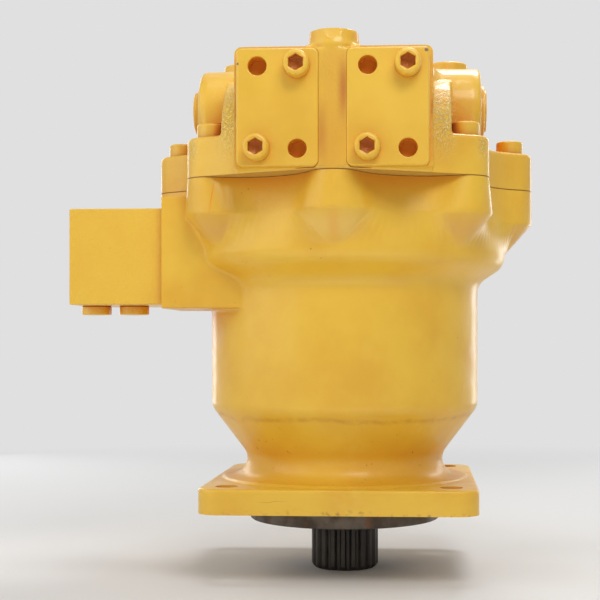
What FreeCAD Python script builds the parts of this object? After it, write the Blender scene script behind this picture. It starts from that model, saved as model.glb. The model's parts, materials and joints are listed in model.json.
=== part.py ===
"""Swing motor: a hydraulic axial piston motor with a spring-applied brake and a flange drive end.

Millimetres, +Z up. The origin is the centre of the mounting flange's lower face, on the shaft axis.
The output spline points down (-Z), the two port faces look to the front (-Y), and the brake valve
block is on the left (-X).
"""
import FreeCAD, Part
import math
import os

from FreeCAD import Vector

# Fits and clearances
RUN_GAP = 0.05          # radial running clearance of a shaft, piston or roller
PRESS_GAP = 0.01        # parts of one body that seat in each other
FACE_GAP = 0.1          # axial play between faces that turn past each other
THREAD_GAP = 0.05       # a screw's thread in its tapped hole
SCREW_CLEARANCE = 0.6   # radial clearance of a through hole round a screw

# Mounting flange and pilot
FLANGE_THICKNESS = 19.0
FLANGE_CORNER_R = 16.0
FLANGE_HOLE_R = 8.75
FLANGE_HOLE_SPACING = 167.0
FLANGE_HOLE_MARGIN = 20.5   # from a hole's centre to the flange's side
STEP_R = 97.5
STEP_HEIGHT = 2.0
PILOT_R = 76.0
PILOT_LENGTH = 14.0

# Casing outside: a waisted neck, a cone, a straight drum and a wider ring under the cover
NECK_FILLET_R = 13.0
NECK_R = 78.5
CONE_ANGLE = 37.0       # from the vertical
DRUM_R = 106.6
SHOULDER_Z = 173.0      # where the drum meets the shoulder slope
SHOULDER_ANGLE = 57.0   # from the vertical
SHOULDER_FILLET_R = 14.0
RING_R = 128.0
SEAM_Z = 246.5          # joint face of casing and cover

# Cover bolt circle with its bosses
BOLT_COUNT = 8
BOLT_CIRCLE_R = 132.0
LUG_R = 17.5
STRAIGHT_SIDES = (247.5, 292.5)  # where the cover's plate carries the port block
BOSS_FLARE_R = 28.0     # radius of a casing boss at its widest level
BOSS_FLARE_Z = 220.0
BOSS_FOOT_Z = 196.0     # where the bosses run out on the round ring
BOSS_FOOT_ANGLE = 2.0   # half angle of a boss at its foot
VALLEY_FLARE_R = 125.0  # wall between the bosses at their widest level
VALLEY_SEAM_R = 119.5   # wall between the bosses at the joint face
COVER_PLATE_HEIGHT = 29.5
SPOTFACE_R = 13.0
SPOTFACE_DEPTH = 3.5
COVER_SCREW_R = 7.0     # M14
COVER_SCREW_HEAD_R = 10.5
COVER_SCREW_ENGAGEMENT = 26.0
LONG_BOSS_R = 17.6
LONG_BOSS_TOP_Z = 344.0
LONG_BOSS_RECESS = 16.0

# Port block on the cover
PORT_BLOCK_HALF_WIDTH = 69.5
PORT_FACE_OVERHANG = 9.0  # port face in front of the bolt circle
PORT_BLOCK_TOP_Z = 333.0
PORT_BLOCK_REAR_Y = -62.0
PORT_SPACING = 76.6
PORT_Z = 290.0
PORT_BORE_R = 12.5
PORT_BORE_DEPTH = 128.0
PORT_SEAL_WIDTH = 2.6
PORT_SEAL_GAP = 2.4     # land between port bore and seal groove
PORT_SCREW_DX = 27.8
PORT_SCREW_DZ = 57.2
PORT_SCREW_R = 6.0      # M12
PORT_SCREW_HEAD_R = 9.0
PORT_SCREW_DEPTH = 24.0
PLATE_WIDTH = 57.2
PLATE_HEIGHT = 82.0
PLATE_THICKNESS = 10.0
PLATE_CORNER_R = 4.5
PLATE_Z = 289.0
PLATE_HOLE_R = 6.5

# Cover body behind the port block, with the relief and make-up valves
COVER_BODY_HALF_WIDTH = 66.0
COVER_BODY_TOP_Z = 322.0
COVER_BODY_REAR_Y = 92.0
COVER_BODY_CORNER_R = 16.0
RELIEF_Y = -50.0
RELIEF_RISE = 27.0      # relief valve axis above the joint plate
RELIEF_BOSS_R = 32.0
RELIEF_BOSS_X = 106.0
RELIEF_BOSS_EDGE_R = 7.0
COVE_R = 12.0           # hollow corner between port block and relief boss
RELIEF_HEAD_R = 19.0
RELIEF_HEAD_THICKNESS = 6.0
RELIEF_THREAD_R = 14.0
RELIEF_THREAD_LENGTH = 30.0
RELIEF_POPPET_R = 5.5
RELIEF_POPPET_LENGTH = 16.0
RELIEF_SEAT_R = 4.0
RELIEF_SEAT_DEPTH = 18.0
MAKEUP_X = 83.0
MAKEUP_Y = 8.0
MAKEUP_BOSS_R = 24.0
MAKEUP_BOSS_TOP_Z = 336.0
MAKEUP_PLUG_R = 16.0
MAKEUP_PLUG_HEIGHT = 15.0
MAKEUP_THREAD_R = 12.0
MAKEUP_THREAD_LENGTH = 18.0
MAKEUP_POPPET_R = 9.0
MAKEUP_SEAT_R = 6.5
MAKEUP_SEAT_Z = 292.0

# Brake valve block on the casing's left side
PAD_X = 133.5
PAD_FRONT_Y = -72.0
PAD_REAR_Y = 6.0
PAD_BOTTOM_Z = 152.0
PAD_TOP_Z = 236.0
PAD_FACE_DEPTH = 20.0   # casting machined away in front of the pad's face
PAD_FACE_MARGIN = 5.0
PAD_FACE_REAR = 35.0
PAD_FACE_GAP = 0.8
VALVE_BLOCK_LENGTH = 72.5
VALVE_BLOCK_BOTTOM_Z = 155.0
VALVE_BLOCK_HEIGHT = 73.0
VALVE_BLOCK_DEPTH = 76.0
VALVE_BORE_Y = -35.0
SPOOL_BORE_X = 194.0
ORIFICE_BORE_X = 164.0
VALVE_BORE_R = 9.0
VALVE_BORE_DEPTH = 60.0
VALVE_PLUG_HEAD_R = 11.5
VALVE_PLUG_HEAD_HEIGHT = 7.0
VALVE_PLUG_THREAD_LENGTH = 14.0
SPOOL_LENGTH = 26.0
BRAKE_PORT_R = 4.0
BRAKE_PORT_Z = 190.0
BRAKE_SEAL_WIDTH = 2.0
BLOCK_SCREW_R = 4.0     # M8
BLOCK_SCREW_HEAD_R = 6.5
BLOCK_SCREW_INSET = 11.0
BLOCK_SCREW_DEPTH = 16.0

# Shaft and bearings
SPLINE_TEETH = 20
SPLINE_MAJOR_R = 26.67
SPLINE_MINOR_R = 23.7
SPLINE_END_Z = -54.0
SPLINE_START_Z = -17.0
JOURNAL_R = 30.0
SHAFT_COLLAR_R = 36.0
SHAFT_BODY_R = 24.0
REAR_JOURNAL_R = 17.5
SEAL_OUTER_R = 42.5
SEAL_BOTTOM_Z = -8.0
SEAL_TOP_Z = 5.0
SEAL_CLIP_THICKNESS = 2.0
SEAL_CLIP_GROOVE = 2.0
FRONT_BEARING_R = 65.0
FRONT_BEARING_BOTTOM_Z = 12.0
FRONT_BEARING_WIDTH = 31.0
FRONT_ROLLER_R = 9.0
FRONT_ROLLER_COUNT = 13
FRONT_INNER_RACE_R = 38.5
REAR_BEARING_R = 40.0
REAR_BEARING_BOTTOM_Z = 251.0
REAR_BEARING_WIDTH = 21.0
REAR_ROLLER_R = 5.5
REAR_ROLLER_COUNT = 12
REAR_INNER_RACE_R = 24.0
CAGE_THICKNESS = 3.0

# Hollow round the rotating group
CAVITY_STEP_HEIGHT = 8.0
CAVITY_CONE_HEIGHT = 28.0
CAVITY_CORNER_R = 10.0

# Rotating group
SWASH_ANGLE = 15.0
SWASH_RIM = 3.0         # plate's edge outside the front bearing
SWASH_PIN_R = 3.0
SWASH_PIN_INSET = 4.0   # from the front bearing's outside
SWASH_PIN_DEPTH = 6.0
SWASH_HOLE_R = 33.0
SWASH_SEAT_Z = 44.5
SWASH_CENTRE_Z = 71.0
PISTON_COUNT = 9
PISTON_CIRCLE_R = 49.0
PISTON_R = 12.5
PISTON_LENGTH = 108.0
BALL_R = 8.5
NECK_OF_PISTON_R = 5.5
BALL_HEIGHT = 13.0      # ball centre above the swash face
SHOE_FLANGE_R = 14.5
SHOE_FLANGE_THICKNESS = 5.0
SHOE_NECK_R = 11.0
RETAINER_R = 65.5
RETAINER_THICKNESS = 4.5
BUSH_SPHERE_R = 30.0
BUSH_BELOW = 12.0
BUSH_ABOVE = 10.0
BLOCK_R = 66.0
BLOCK_BOTTOM_Z = 128.0
BLOCK_TOOTH_R = 71.0
BLOCK_TOOTH_COUNT = 12
BLOCK_TOOTH_ANGLE = 12.0
BLOCK_SPRING_R = 30.0
BLOCK_SPRING_WIRE_R = 2.2  # half the width of the square wire
BLOCK_SPRING_TURNS = 4
BLOCK_SPRING_POCKET = 32.0
SNAP_RING_THICKNESS = 2.0
VALVE_PLATE_THICKNESS = 6.3
VALVE_PLATE_R = 62.0
KIDNEY_IN_R = 44.0
KIDNEY_OUT_R = 54.0
KIDNEY_SPAN = 124.0
KIDNEY_TOP_Z = 290.0

# Brake
CAVITY_R = 86.0
BRAKE_BORE_R = 93.0
BRAKE_PISTON_BORE_R = 101.0
BRAKE_STOP_Z = 150.0
BRAKE_STEP_Z = 188.0
DISC_THICKNESS = 3.6
SEPARATOR_COUNT = 3
SEPARATOR_TAB_R = 6.0
SEPARATOR_TAB_COUNT = 4
BRAKE_PISTON_R_IN = 76.0
BRAKE_PISTON_TOP_Z = 224.0
BRAKE_SPRING_COUNT = 10
BRAKE_SPRING_CIRCLE_R = 88.5
BRAKE_SPRING_R = 7.0
BRAKE_SPRING_WALL = 2.2
BRAKE_SPRING_POCKET = 16.0

# Small parts
SEAL_RING_R = 106.5
SEAL_RING_WIDTH = 3.4
SEAL_GROOVE_GAP = 0.3
DOWEL_R = 3.0
DOWEL_LENGTH = 16.0
DOWEL_CIRCLE_R = 114.0
DOWEL_ANGLE = 22.5
DRAIN_PLUG_R = 13.0
DRAIN_PLUG_Z = 228.0
DRAIN_THREAD_R = 9.0
DRAIN_BOSS_MARGIN = 5.0
DRAIN_BOSS_HEIGHT = 5.0 # proud of the ring
DRAIN_ANGLE = 112.5
HEX_SOCKET_SHARE = 0.55  # across flats of a socket, as a share of the screw head's diameter

# Places that follow from the sizes above
FLANGE_SIDE = FLANGE_HOLE_SPACING + 2 * FLANGE_HOLE_MARGIN
PORT_FACE_Y = -BOLT_CIRCLE_R - PORT_FACE_OVERHANG
DRAIN_FACE_R = RING_R + DRAIN_BOSS_HEIGHT
SWASH_TILT = math.radians(SWASH_ANGLE)
NORMAL = Vector(0, -math.sin(SWASH_TILT), math.cos(SWASH_TILT))
SWASH_R = FRONT_BEARING_R + SWASH_RIM
SWASH_PIN_CIRCLE_R = FRONT_BEARING_R - SWASH_PIN_INSET
BALL_CENTRE_Z = SWASH_CENTRE_Z + BALL_HEIGHT / math.cos(SWASH_TILT)
VALVE_PLATE_Z = SEAM_Z - VALVE_PLATE_THICKNESS
BLOCK_TOP_Z = VALVE_PLATE_Z - RUN_GAP
COVER_PLATE_TOP_Z = SEAM_Z + COVER_PLATE_HEIGHT
SCREW_SEAT_Z = COVER_PLATE_TOP_Z - SPOTFACE_DEPTH
RELIEF_Z = COVER_PLATE_TOP_Z + RELIEF_RISE
PLATE_FRONT_Y = PORT_FACE_Y - PLATE_THICKNESS
FRONT_BEARING_TOP_Z = FRONT_BEARING_BOTTOM_Z + FRONT_BEARING_WIDTH
REAR_BEARING_TOP_Z = REAR_BEARING_BOTTOM_Z + REAR_BEARING_WIDTH
FRONT_OUTER_RACE_R = FRONT_INNER_RACE_R + 2 * FRONT_ROLLER_R
REAR_OUTER_RACE_R = REAR_INNER_RACE_R + 2 * REAR_ROLLER_R
BRAKE_STACK_Z = BRAKE_STOP_Z + (2 * SEPARATOR_COUNT - 1) * (DISC_THICKNESS + FACE_GAP)
RELIEF_HEAD_X = RELIEF_BOSS_X + RELIEF_HEAD_THICKNESS
RELIEF_CARTRIDGE_END_X = RELIEF_BOSS_X - RELIEF_THREAD_LENGTH
RELIEF_SEAT_X = RELIEF_CARTRIDGE_END_X - RELIEF_SEAT_DEPTH
VALVE_BLOCK_OUTER_X = PAD_X + VALVE_BLOCK_LENGTH
VALVE_BLOCK_TOP_Z = VALVE_BLOCK_BOTTOM_Z + VALVE_BLOCK_HEIGHT
VALVE_BLOCK_REAR_Y = PAD_FRONT_Y + VALVE_BLOCK_DEPTH
VALVE_BORE_TOP_Z = VALVE_BLOCK_BOTTOM_Z + VALVE_BORE_DEPTH


def cylinder(radius, low_z, high_z, x=0.0, y=0.0):
    """Upright cylinder between two levels."""
    return Part.makeCylinder(radius, high_z - low_z, Vector(x, y, low_z))


def rod(radius, start, end):
    """Cylinder between two points."""
    span = end.sub(start)
    return Part.makeCylinder(radius, span.Length, start, span)


def ring(inner_r, outer_r, low_z, high_z):
    """Upright ring with a round hole."""
    return cylinder(outer_r, low_z, high_z).cut(cylinder(inner_r, low_z - 1, high_z + 1))


def block(low_x, high_x, low_y, high_y, low_z, high_z):
    """Box between two corners."""
    return Part.makeBox(high_x - low_x, high_y - low_y, high_z - low_z, Vector(low_x, low_y, low_z))


def turned(shape, degrees):
    """Copy turned about the shaft axis."""
    copy = shape.copy()
    copy.rotate(Vector(0, 0, 0), Vector(0, 0, 1), degrees)
    return copy


def around(shape, count, start=0.0):
    """Copies of a shape, evenly spaced about the shaft axis."""
    return [turned(shape, start + 360.0 * k / count) for k in range(count)]


def joined(shapes):
    """One clean solid from overlapping or touching solids."""
    return shapes[0].multiFuse(shapes[1:]).removeSplitter()


def without(shape, tools):
    """Shape less each of the tools."""
    return shape.cut(tools)


def rounded_wire(points, to_vector):
    """Closed wire through (u, v, fillet radius) corners, each filleted with a tangent arc."""
    count = len(points)
    arcs = []
    for k in range(count):
        before = Vector(*points[k - 1][:2], 0)
        corner = Vector(*points[k][:2], 0)
        after = Vector(*points[(k + 1) % count][:2], 0)
        radius = points[k][2]
        if not radius:
            arcs.append((corner, None, corner))
            continue
        back = before.sub(corner).normalize()
        ahead = after.sub(corner).normalize()
        half = 0.5 * back.getAngle(ahead)
        reach = radius / math.tan(half)
        bisector = back.add(ahead).normalize()
        centre = corner.add(bisector.multiply(radius / math.sin(half)))
        middle = centre.add(corner.sub(centre).normalize().multiply(radius))
        arcs.append((corner.add(back.multiply(reach)), middle, corner.add(ahead.multiply(reach))))
    edges = []
    for k in range(count):
        first, middle, last = arcs[k]
        if middle:
            edges.append(Part.Arc(to_vector(first), to_vector(middle), to_vector(last)).toShape())
        target = arcs[(k + 1) % count][0]
        if last.distanceToPoint(target) > 1e-6:
            edges.append(Part.LineSegment(to_vector(last), to_vector(target)).toShape())
    return Part.Wire(edges)


def revolved(points):
    """Solid of revolution about the shaft axis from (radius, height, fillet) corners."""
    wire = rounded_wire(points, lambda p: Vector(p.x, 0, p.y))
    return Part.Face(wire).revolve(Vector(0, 0, 0), Vector(0, 0, 1), 360)


def extruded_z(points, low_z, high_z):
    """Upright prism from (x, y, fillet) corners."""
    wire = rounded_wire(points, lambda p: Vector(p.x, p.y, low_z))
    return Part.Face(wire).extrude(Vector(0, 0, high_z - low_z))


def extruded_y(points, low_y, high_y):
    """Prism along Y from (x, z, fillet) corners."""
    wire = rounded_wire(points, lambda p: Vector(p.x, low_y, p.y))
    return Part.Face(wire).extrude(Vector(0, high_y - low_y, 0))


def rectangle(width, height, corner_r, centre_u=0.0, centre_v=0.0):
    """Corners of a rounded rectangle, in order."""
    half_u = width / 2
    half_v = height / 2
    return [
        (centre_u - half_u, centre_v - half_v, corner_r),
        (centre_u + half_u, centre_v - half_v, corner_r),
        (centre_u + half_u, centre_v + half_v, corner_r),
        (centre_u - half_u, centre_v + half_v, corner_r),
    ]


def hex_prism(across_flats, start, axis, length):
    """Hexagonal prism for a key socket."""
    radius = across_flats / math.sqrt(3)
    corners = [Vector(radius * math.cos(math.radians(60 * k)), radius * math.sin(math.radians(60 * k)), 0)
               for k in range(7)]
    prism = Part.Face(Part.makePolygon(corners)).extrude(Vector(0, 0, length))
    prism.Placement = FreeCAD.Placement(start, FreeCAD.Rotation(Vector(0, 0, 1), axis))
    return prism


def cap_screw(radius, head_r, head_height, seat, axis, shank_length):
    """Socket head screw whose head stands on seat and points along axis."""
    head = rod(head_r, seat, seat.add(Vector(axis).multiply(head_height)))
    top_edges = [e for e in head.Edges if abs(e.CenterOfMass.sub(seat).dot(axis) - head_height) < 1e-6]
    head = head.makeChamfer(head_r * 0.1, top_edges)
    shank = rod(radius, seat.sub(Vector(axis).multiply(shank_length)), seat)
    depth = head_height * 0.6
    socket_start = seat.add(Vector(axis).multiply(head_height - depth))
    socket = hex_prism(2 * head_r * HEX_SOCKET_SHARE, socket_start, axis, depth + 1)
    return joined([head, shank]).cut(socket)


def arc_slot(inner_r, outer_r, span, middle_angle, low_z, high_z):
    """Kidney-shaped prism with round ends, about the shaft axis."""
    mean_r = (inner_r + outer_r) / 2
    end_r = (outer_r - inner_r) / 2
    sweep = span - 2 * math.degrees(end_r / mean_r)
    first = middle_angle - sweep / 2
    band = ring(inner_r, outer_r, low_z, high_z)
    sector = Part.makeCylinder(outer_r + 1, high_z - low_z, Vector(0, 0, low_z), Vector(0, 0, 1), sweep)
    body = band.common(turned(sector, first))
    ends = []
    for angle in (first, first + sweep):
        a = math.radians(angle)
        ends.append(cylinder(end_r, low_z, high_z, mean_r * math.cos(a), mean_r * math.sin(a)))
    return joined([body] + ends)


def polar(radius, degrees, z=0.0):
    """Point at a radius and angle about the shaft axis."""
    a = math.radians(degrees)
    return Vector(radius * math.cos(a), radius * math.sin(a), z)


def tilted(shape):
    """Shape built about the Z axis with its face at z = 0, moved to the swash face."""
    copy = shape.copy()
    copy.rotate(Vector(0, 0, 0), Vector(1, 0, 0), SWASH_ANGLE)
    foot = Vector(0, 0, BALL_CENTRE_Z).sub(Vector(NORMAL).multiply(BALL_HEIGHT))
    copy.translate(foot)
    return copy


def screw_engagement(angle):
    """Thread depth of a cover screw in the casing: shorter above the valve block."""
    if angle % 360 == 180:
        return SEAM_Z - VALVE_BLOCK_TOP_Z - 3
    return COVER_SCREW_ENGAGEMENT


def bolt_angles():
    """Angles of the cover screws, with the front one last."""
    return [360.0 * k / BOLT_COUNT + 270.0 for k in range(1, BOLT_COUNT)] + [270.0]


def top_edges_at(shape, z):
    """Edges that lie in one level plane."""
    return [e for e in shape.Edges if e.BoundBox.ZMin > z - 1e-4 and e.BoundBox.ZMax < z + 1e-4]


def round_section(z):
    """Level circle split into boss and valley arcs, where the bosses run out."""
    edges = []
    step = 360.0 / BOLT_COUNT
    for k in range(BOLT_COUNT):
        angle = step * k
        marks = [angle - BOSS_FOOT_ANGLE, angle, angle + BOSS_FOOT_ANGLE, angle + step / 2,
                 angle + step - BOSS_FOOT_ANGLE]
        points = [polar(RING_R, mark, z) for mark in marks]
        edges.append(Part.Arc(points[0], points[1], points[2]).toShape())
        edges.append(Part.Arc(points[2], points[3], points[4]).toShape())
    return Part.Wire(edges)


def hollow_centre_r(boss_centre_r, boss_r, valley_r):
    """Where the arc between two bosses has its centre, so that it touches both and the valley's radius."""
    fall = boss_r - valley_r
    spread = boss_centre_r * math.cos(math.radians(180.0 / BOLT_COUNT)) + fall
    return (boss_centre_r ** 2 - fall ** 2) / (2 * spread)


def petal_section(z, boss_centre_r, boss_r, valley_r):
    """Level outline: a round boss at each cover screw and a tangent hollow between bosses."""
    half_step = 180.0 / BOLT_COUNT
    valley_centre_r = hollow_centre_r(boss_centre_r, boss_r, valley_r)
    edges = []
    for k in range(BOLT_COUNT):
        angle = 2 * half_step * k
        boss = polar(boss_centre_r, angle, z)
        next_boss = polar(boss_centre_r, angle + 2 * half_step, z)
        valley_before = polar(valley_centre_r, angle - half_step, z)
        valley = polar(valley_centre_r, angle + half_step, z)
        first = boss.add(valley_before.sub(boss).normalize().multiply(boss_r))
        last = boss.add(valley.sub(boss).normalize().multiply(boss_r))
        following = next_boss.add(valley.sub(next_boss).normalize().multiply(boss_r))
        edges.append(Part.Arc(first, polar(boss_centre_r + boss_r, angle, z), last).toShape())
        edges.append(Part.Arc(last, polar(valley_r, angle + half_step, z), following).toShape())
    return Part.Wire(edges)


def casing_crown():
    """Upper casing: bosses flare below the joint face, then taper to points on the ring."""
    reach = BOLT_CIRCLE_R + LUG_R
    sections = [
        round_section(BOSS_FOOT_Z),
        petal_section(BOSS_FLARE_Z, reach - BOSS_FLARE_R, BOSS_FLARE_R, VALLEY_FLARE_R),
        petal_section(SEAM_Z, BOLT_CIRCLE_R, LUG_R, VALLEY_SEAM_R),
    ]
    return Part.makeLoft(sections, True, True)


def casing_outside():
    """Cast outside of the casing, with the flange, bosses and valve pad."""
    slope = math.tan(math.radians(CONE_ANGLE))
    step_z = FLANGE_THICKNESS + STEP_HEIGHT
    neck_centre_r = NECK_R + NECK_FILLET_R
    touch = math.radians(180 - CONE_ANGLE)
    touch_r = neck_centre_r + NECK_FILLET_R * math.cos(touch)
    touch_z = step_z + NECK_FILLET_R + NECK_FILLET_R * math.sin(touch)
    neck_vertex_r = touch_r - slope * (touch_z - step_z)
    cone_top_z = touch_z + (DRUM_R - touch_r) / slope
    shoulder_top_z = SHOULDER_Z + (RING_R - DRUM_R) / math.tan(math.radians(SHOULDER_ANGLE))
    profile = [
        (0, -PILOT_LENGTH, 0),
        (PILOT_R, -PILOT_LENGTH, 1.5),
        (PILOT_R, 0, 0),
        (STEP_R, 0, 0),
        (STEP_R, step_z, 0.8),
        (neck_vertex_r, step_z, NECK_FILLET_R),
        (DRUM_R, cone_top_z, NECK_FILLET_R),
        (DRUM_R, SHOULDER_Z, SHOULDER_FILLET_R),
        (RING_R, shoulder_top_z, SHOULDER_FILLET_R),
        (RING_R, BOSS_FOOT_Z, 0),
        (0, BOSS_FOOT_Z, 0),
    ]
    body = revolved(profile)
    flange = extruded_z(rectangle(FLANGE_SIDE, FLANGE_SIDE, FLANGE_CORNER_R), 0, FLANGE_THICKNESS)
    flange = flange.makeChamfer(1.0, top_edges_at(flange, FLANGE_THICKNESS))
    pad_corners = [
        (-PAD_X, PAD_FRONT_Y, 3),
        (-CAVITY_R, PAD_FRONT_Y, 0),
        (-CAVITY_R, PAD_REAR_Y, 0),
        (-PAD_X, PAD_REAR_Y, 3),
    ]
    pad = extruded_z(pad_corners, PAD_BOTTOM_Z, PAD_TOP_Z)
    drain_boss = rod(DRAIN_PLUG_R + DRAIN_BOSS_MARGIN, Vector(BRAKE_PISTON_BORE_R + 5, 0, DRAIN_PLUG_Z),
                     Vector(DRAIN_FACE_R, 0, DRAIN_PLUG_Z))
    outside = joined([body, casing_crown(), flange, pad, turned(drain_boss, DRAIN_ANGLE)])
    valve_face = block(-PAD_X - PAD_FACE_DEPTH, -PAD_X, PAD_FRONT_Y - PAD_FACE_MARGIN,
                       PAD_REAR_Y + PAD_FACE_REAR, PAD_BOTTOM_Z - PAD_FACE_MARGIN,
                       VALVE_BLOCK_TOP_Z + PAD_FACE_GAP)
    return outside.cut(valve_face)


def casing_cavity():
    """Everything hollow about the shaft axis, as one solid."""
    bearing_top = SWASH_SEAT_Z
    profile = [
        (0, -PILOT_LENGTH - 1, 0),
        (SEAL_OUTER_R, -PILOT_LENGTH - 1, 0),
        (SEAL_OUTER_R, SEAL_TOP_Z, 0),
        (JOURNAL_R + 4, SEAL_TOP_Z, 0),
        (JOURNAL_R + 4, FRONT_BEARING_BOTTOM_Z - 3, 0),
        (FRONT_OUTER_RACE_R, FRONT_BEARING_BOTTOM_Z - 3, 0),
        (FRONT_OUTER_RACE_R, FRONT_BEARING_BOTTOM_Z, 0),
        (FRONT_BEARING_R, FRONT_BEARING_BOTTOM_Z, 0),
        (FRONT_BEARING_R, bearing_top, 0),
        (SWASH_R, bearing_top, 0),
        (SWASH_R, bearing_top + CAVITY_STEP_HEIGHT, 0),
        (CAVITY_R, bearing_top + CAVITY_STEP_HEIGHT + CAVITY_CONE_HEIGHT, CAVITY_CORNER_R),
        (CAVITY_R, BRAKE_STOP_Z, 0),
        (BRAKE_BORE_R, BRAKE_STOP_Z, 0),
        (BRAKE_BORE_R, BRAKE_STEP_Z, 0),
        (BRAKE_PISTON_BORE_R, BRAKE_STEP_Z, 0),
        (BRAKE_PISTON_BORE_R, SEAM_Z + 1, 0),
        (0, SEAM_Z + 1, 0),
    ]
    return revolved(profile)


def casing_machining():
    """Holes and grooves cut into the casing."""
    cuts = []
    half = FLANGE_HOLE_SPACING / 2
    for x in (-half, half):
        for y in (-half, half):
            cuts.append(cylinder(FLANGE_HOLE_R, -1, FLANGE_THICKNESS + STEP_HEIGHT + 1, x, y))
    for angle in bolt_angles():
        place = polar(BOLT_CIRCLE_R, angle)
        low_z = SEAM_Z - screw_engagement(angle) - 1.5
        cuts.append(cylinder(COVER_SCREW_R + THREAD_GAP, low_z, SEAM_Z + 1, place.x, place.y))
    for angle in (DOWEL_ANGLE, DOWEL_ANGLE + 180):
        place = polar(DOWEL_CIRCLE_R, angle)
        cuts.append(cylinder(DOWEL_R + PRESS_GAP, SEAM_Z - DOWEL_LENGTH / 2, SEAM_Z + 1, place.x, place.y))
    half_groove = SEAL_RING_WIDTH / 2 + SEAL_GROOVE_GAP
    cuts.append(ring(SEAL_RING_R - half_groove, SEAL_RING_R + half_groove, SEAM_Z - SEAL_RING_WIDTH,
                     SEAM_Z + 1))
    clip_z = SEAL_BOTTOM_Z - SEAL_CLIP_THICKNESS
    cuts.append(ring(SEAL_OUTER_R - 1, SEAL_OUTER_R + SEAL_CLIP_GROOVE, clip_z, SEAL_BOTTOM_Z))
    tab = cylinder(SEPARATOR_TAB_R + FACE_GAP, BRAKE_STOP_Z, BRAKE_STEP_Z + 1, BRAKE_BORE_R, 0)
    cuts.extend(around(tab, SEPARATOR_TAB_COUNT, 45))
    for screw_y in block_screw_ys():
        for screw_z in block_screw_zs():
            start = Vector(-PAD_X - 1, screw_y, screw_z)
            end = Vector(-PAD_X + BLOCK_SCREW_DEPTH + 2, screw_y, screw_z)
            cuts.append(rod(BLOCK_SCREW_R + THREAD_GAP, start, end))
    cuts.append(rod(BRAKE_PORT_R, Vector(-PAD_X - 1, VALVE_BORE_Y, BRAKE_PORT_Z),
                    Vector(-BRAKE_BORE_R + 4, VALVE_BORE_Y, BRAKE_PORT_Z)))
    drain = rod(DRAIN_THREAD_R + THREAD_GAP, Vector(BRAKE_PISTON_BORE_R - 4, 0, DRAIN_PLUG_Z),
                Vector(DRAIN_FACE_R + 1, 0, DRAIN_PLUG_Z))
    cuts.append(turned(drain, DRAIN_ANGLE))
    return cuts


def casing():
    """Cast casing with flange, pilot, brake bores and pad for the valve block."""
    return without(casing_outside().cut(casing_cavity()), casing_machining())


def lug_end(angle, gap_angle):
    """Where a lug's round meets the side that follows it, straight or hollow."""
    centre = polar(BOLT_CIRCLE_R, angle, SEAM_Z)
    if gap_angle % 360 in STRAIGHT_SIDES:
        return centre.add(polar(LUG_R, gap_angle))
    valley = polar(hollow_centre_r(BOLT_CIRCLE_R, LUG_R, VALLEY_SEAM_R), gap_angle, SEAM_Z)
    return centre.add(valley.sub(centre).normalize().multiply(LUG_R))


def lug_outline():
    """Face of the cover's joint plate: lugs round the screws, with straight sides under the port block."""
    step = 360.0 / BOLT_COUNT
    edges = []
    for k in range(BOLT_COUNT):
        angle = step * k
        gap_angle = angle + step / 2
        first = lug_end(angle, angle - step / 2)
        last = lug_end(angle, gap_angle)
        following = lug_end(angle + step, gap_angle)
        edges.append(Part.Arc(first, polar(BOLT_CIRCLE_R + LUG_R, angle, SEAM_Z), last).toShape())
        if gap_angle in STRAIGHT_SIDES:
            edges.append(Part.LineSegment(last, following).toShape())
        else:
            edges.append(Part.Arc(last, polar(VALLEY_SEAM_R, gap_angle, SEAM_Z), following).toShape())
    return Part.Face(Part.Wire(edges))


def relief_cove(side):
    """Cast corner between port block and relief boss: a web to the plate and a hollow round the boss."""
    wall_x = PORT_BLOCK_HALF_WIDTH
    front_y = RELIEF_Y - RELIEF_BOSS_R
    web_corners = [
        (side * (wall_x - 5), RELIEF_Y, 0),
        (side * (wall_x - 5), front_y - COVE_R, 0),
        (side * wall_x, front_y - COVE_R, 0),
        (side * wall_x, front_y, COVE_R),
        (side * (RELIEF_BOSS_X - RELIEF_BOSS_EDGE_R), front_y, 0),
        (side * (RELIEF_BOSS_X - RELIEF_BOSS_EDGE_R), RELIEF_Y, 0),
    ]
    web = extruded_z(web_corners, SEAM_Z, RELIEF_Z)
    inside = Vector(side * (wall_x - 2), front_y + 2, RELIEF_Z)
    low = Vector(side * (wall_x - 2), front_y - COVE_R, RELIEF_Z)
    start = Vector(side * wall_x, front_y - COVE_R, RELIEF_Z)
    end = Vector(side * (wall_x + COVE_R), front_y, RELIEF_Z)
    far = Vector(side * (wall_x + COVE_R), front_y + 2, RELIEF_Z)
    centre = Vector(side * (wall_x + COVE_R), front_y - COVE_R, RELIEF_Z)
    half = COVE_R * math.sqrt(0.5)
    middle = centre.add(Vector(-side * half, half, 0))
    edges = [
        Part.LineSegment(inside, low).toShape(),
        Part.LineSegment(low, start).toShape(),
        Part.Arc(start, middle, end).toShape(),
        Part.LineSegment(end, far).toShape(),
        Part.LineSegment(far, inside).toShape(),
    ]
    face = Part.Face(Part.Wire(edges))
    hollow = face.revolve(Vector(0, RELIEF_Y, RELIEF_Z), Vector(-1, 0, 0), 60)
    limit = block(-RELIEF_BOSS_X, RELIEF_BOSS_X, PORT_FACE_Y, RELIEF_Y, RELIEF_Z, PORT_BLOCK_TOP_Z - 2.5)
    return joined([web, hollow.common(limit)])


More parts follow.
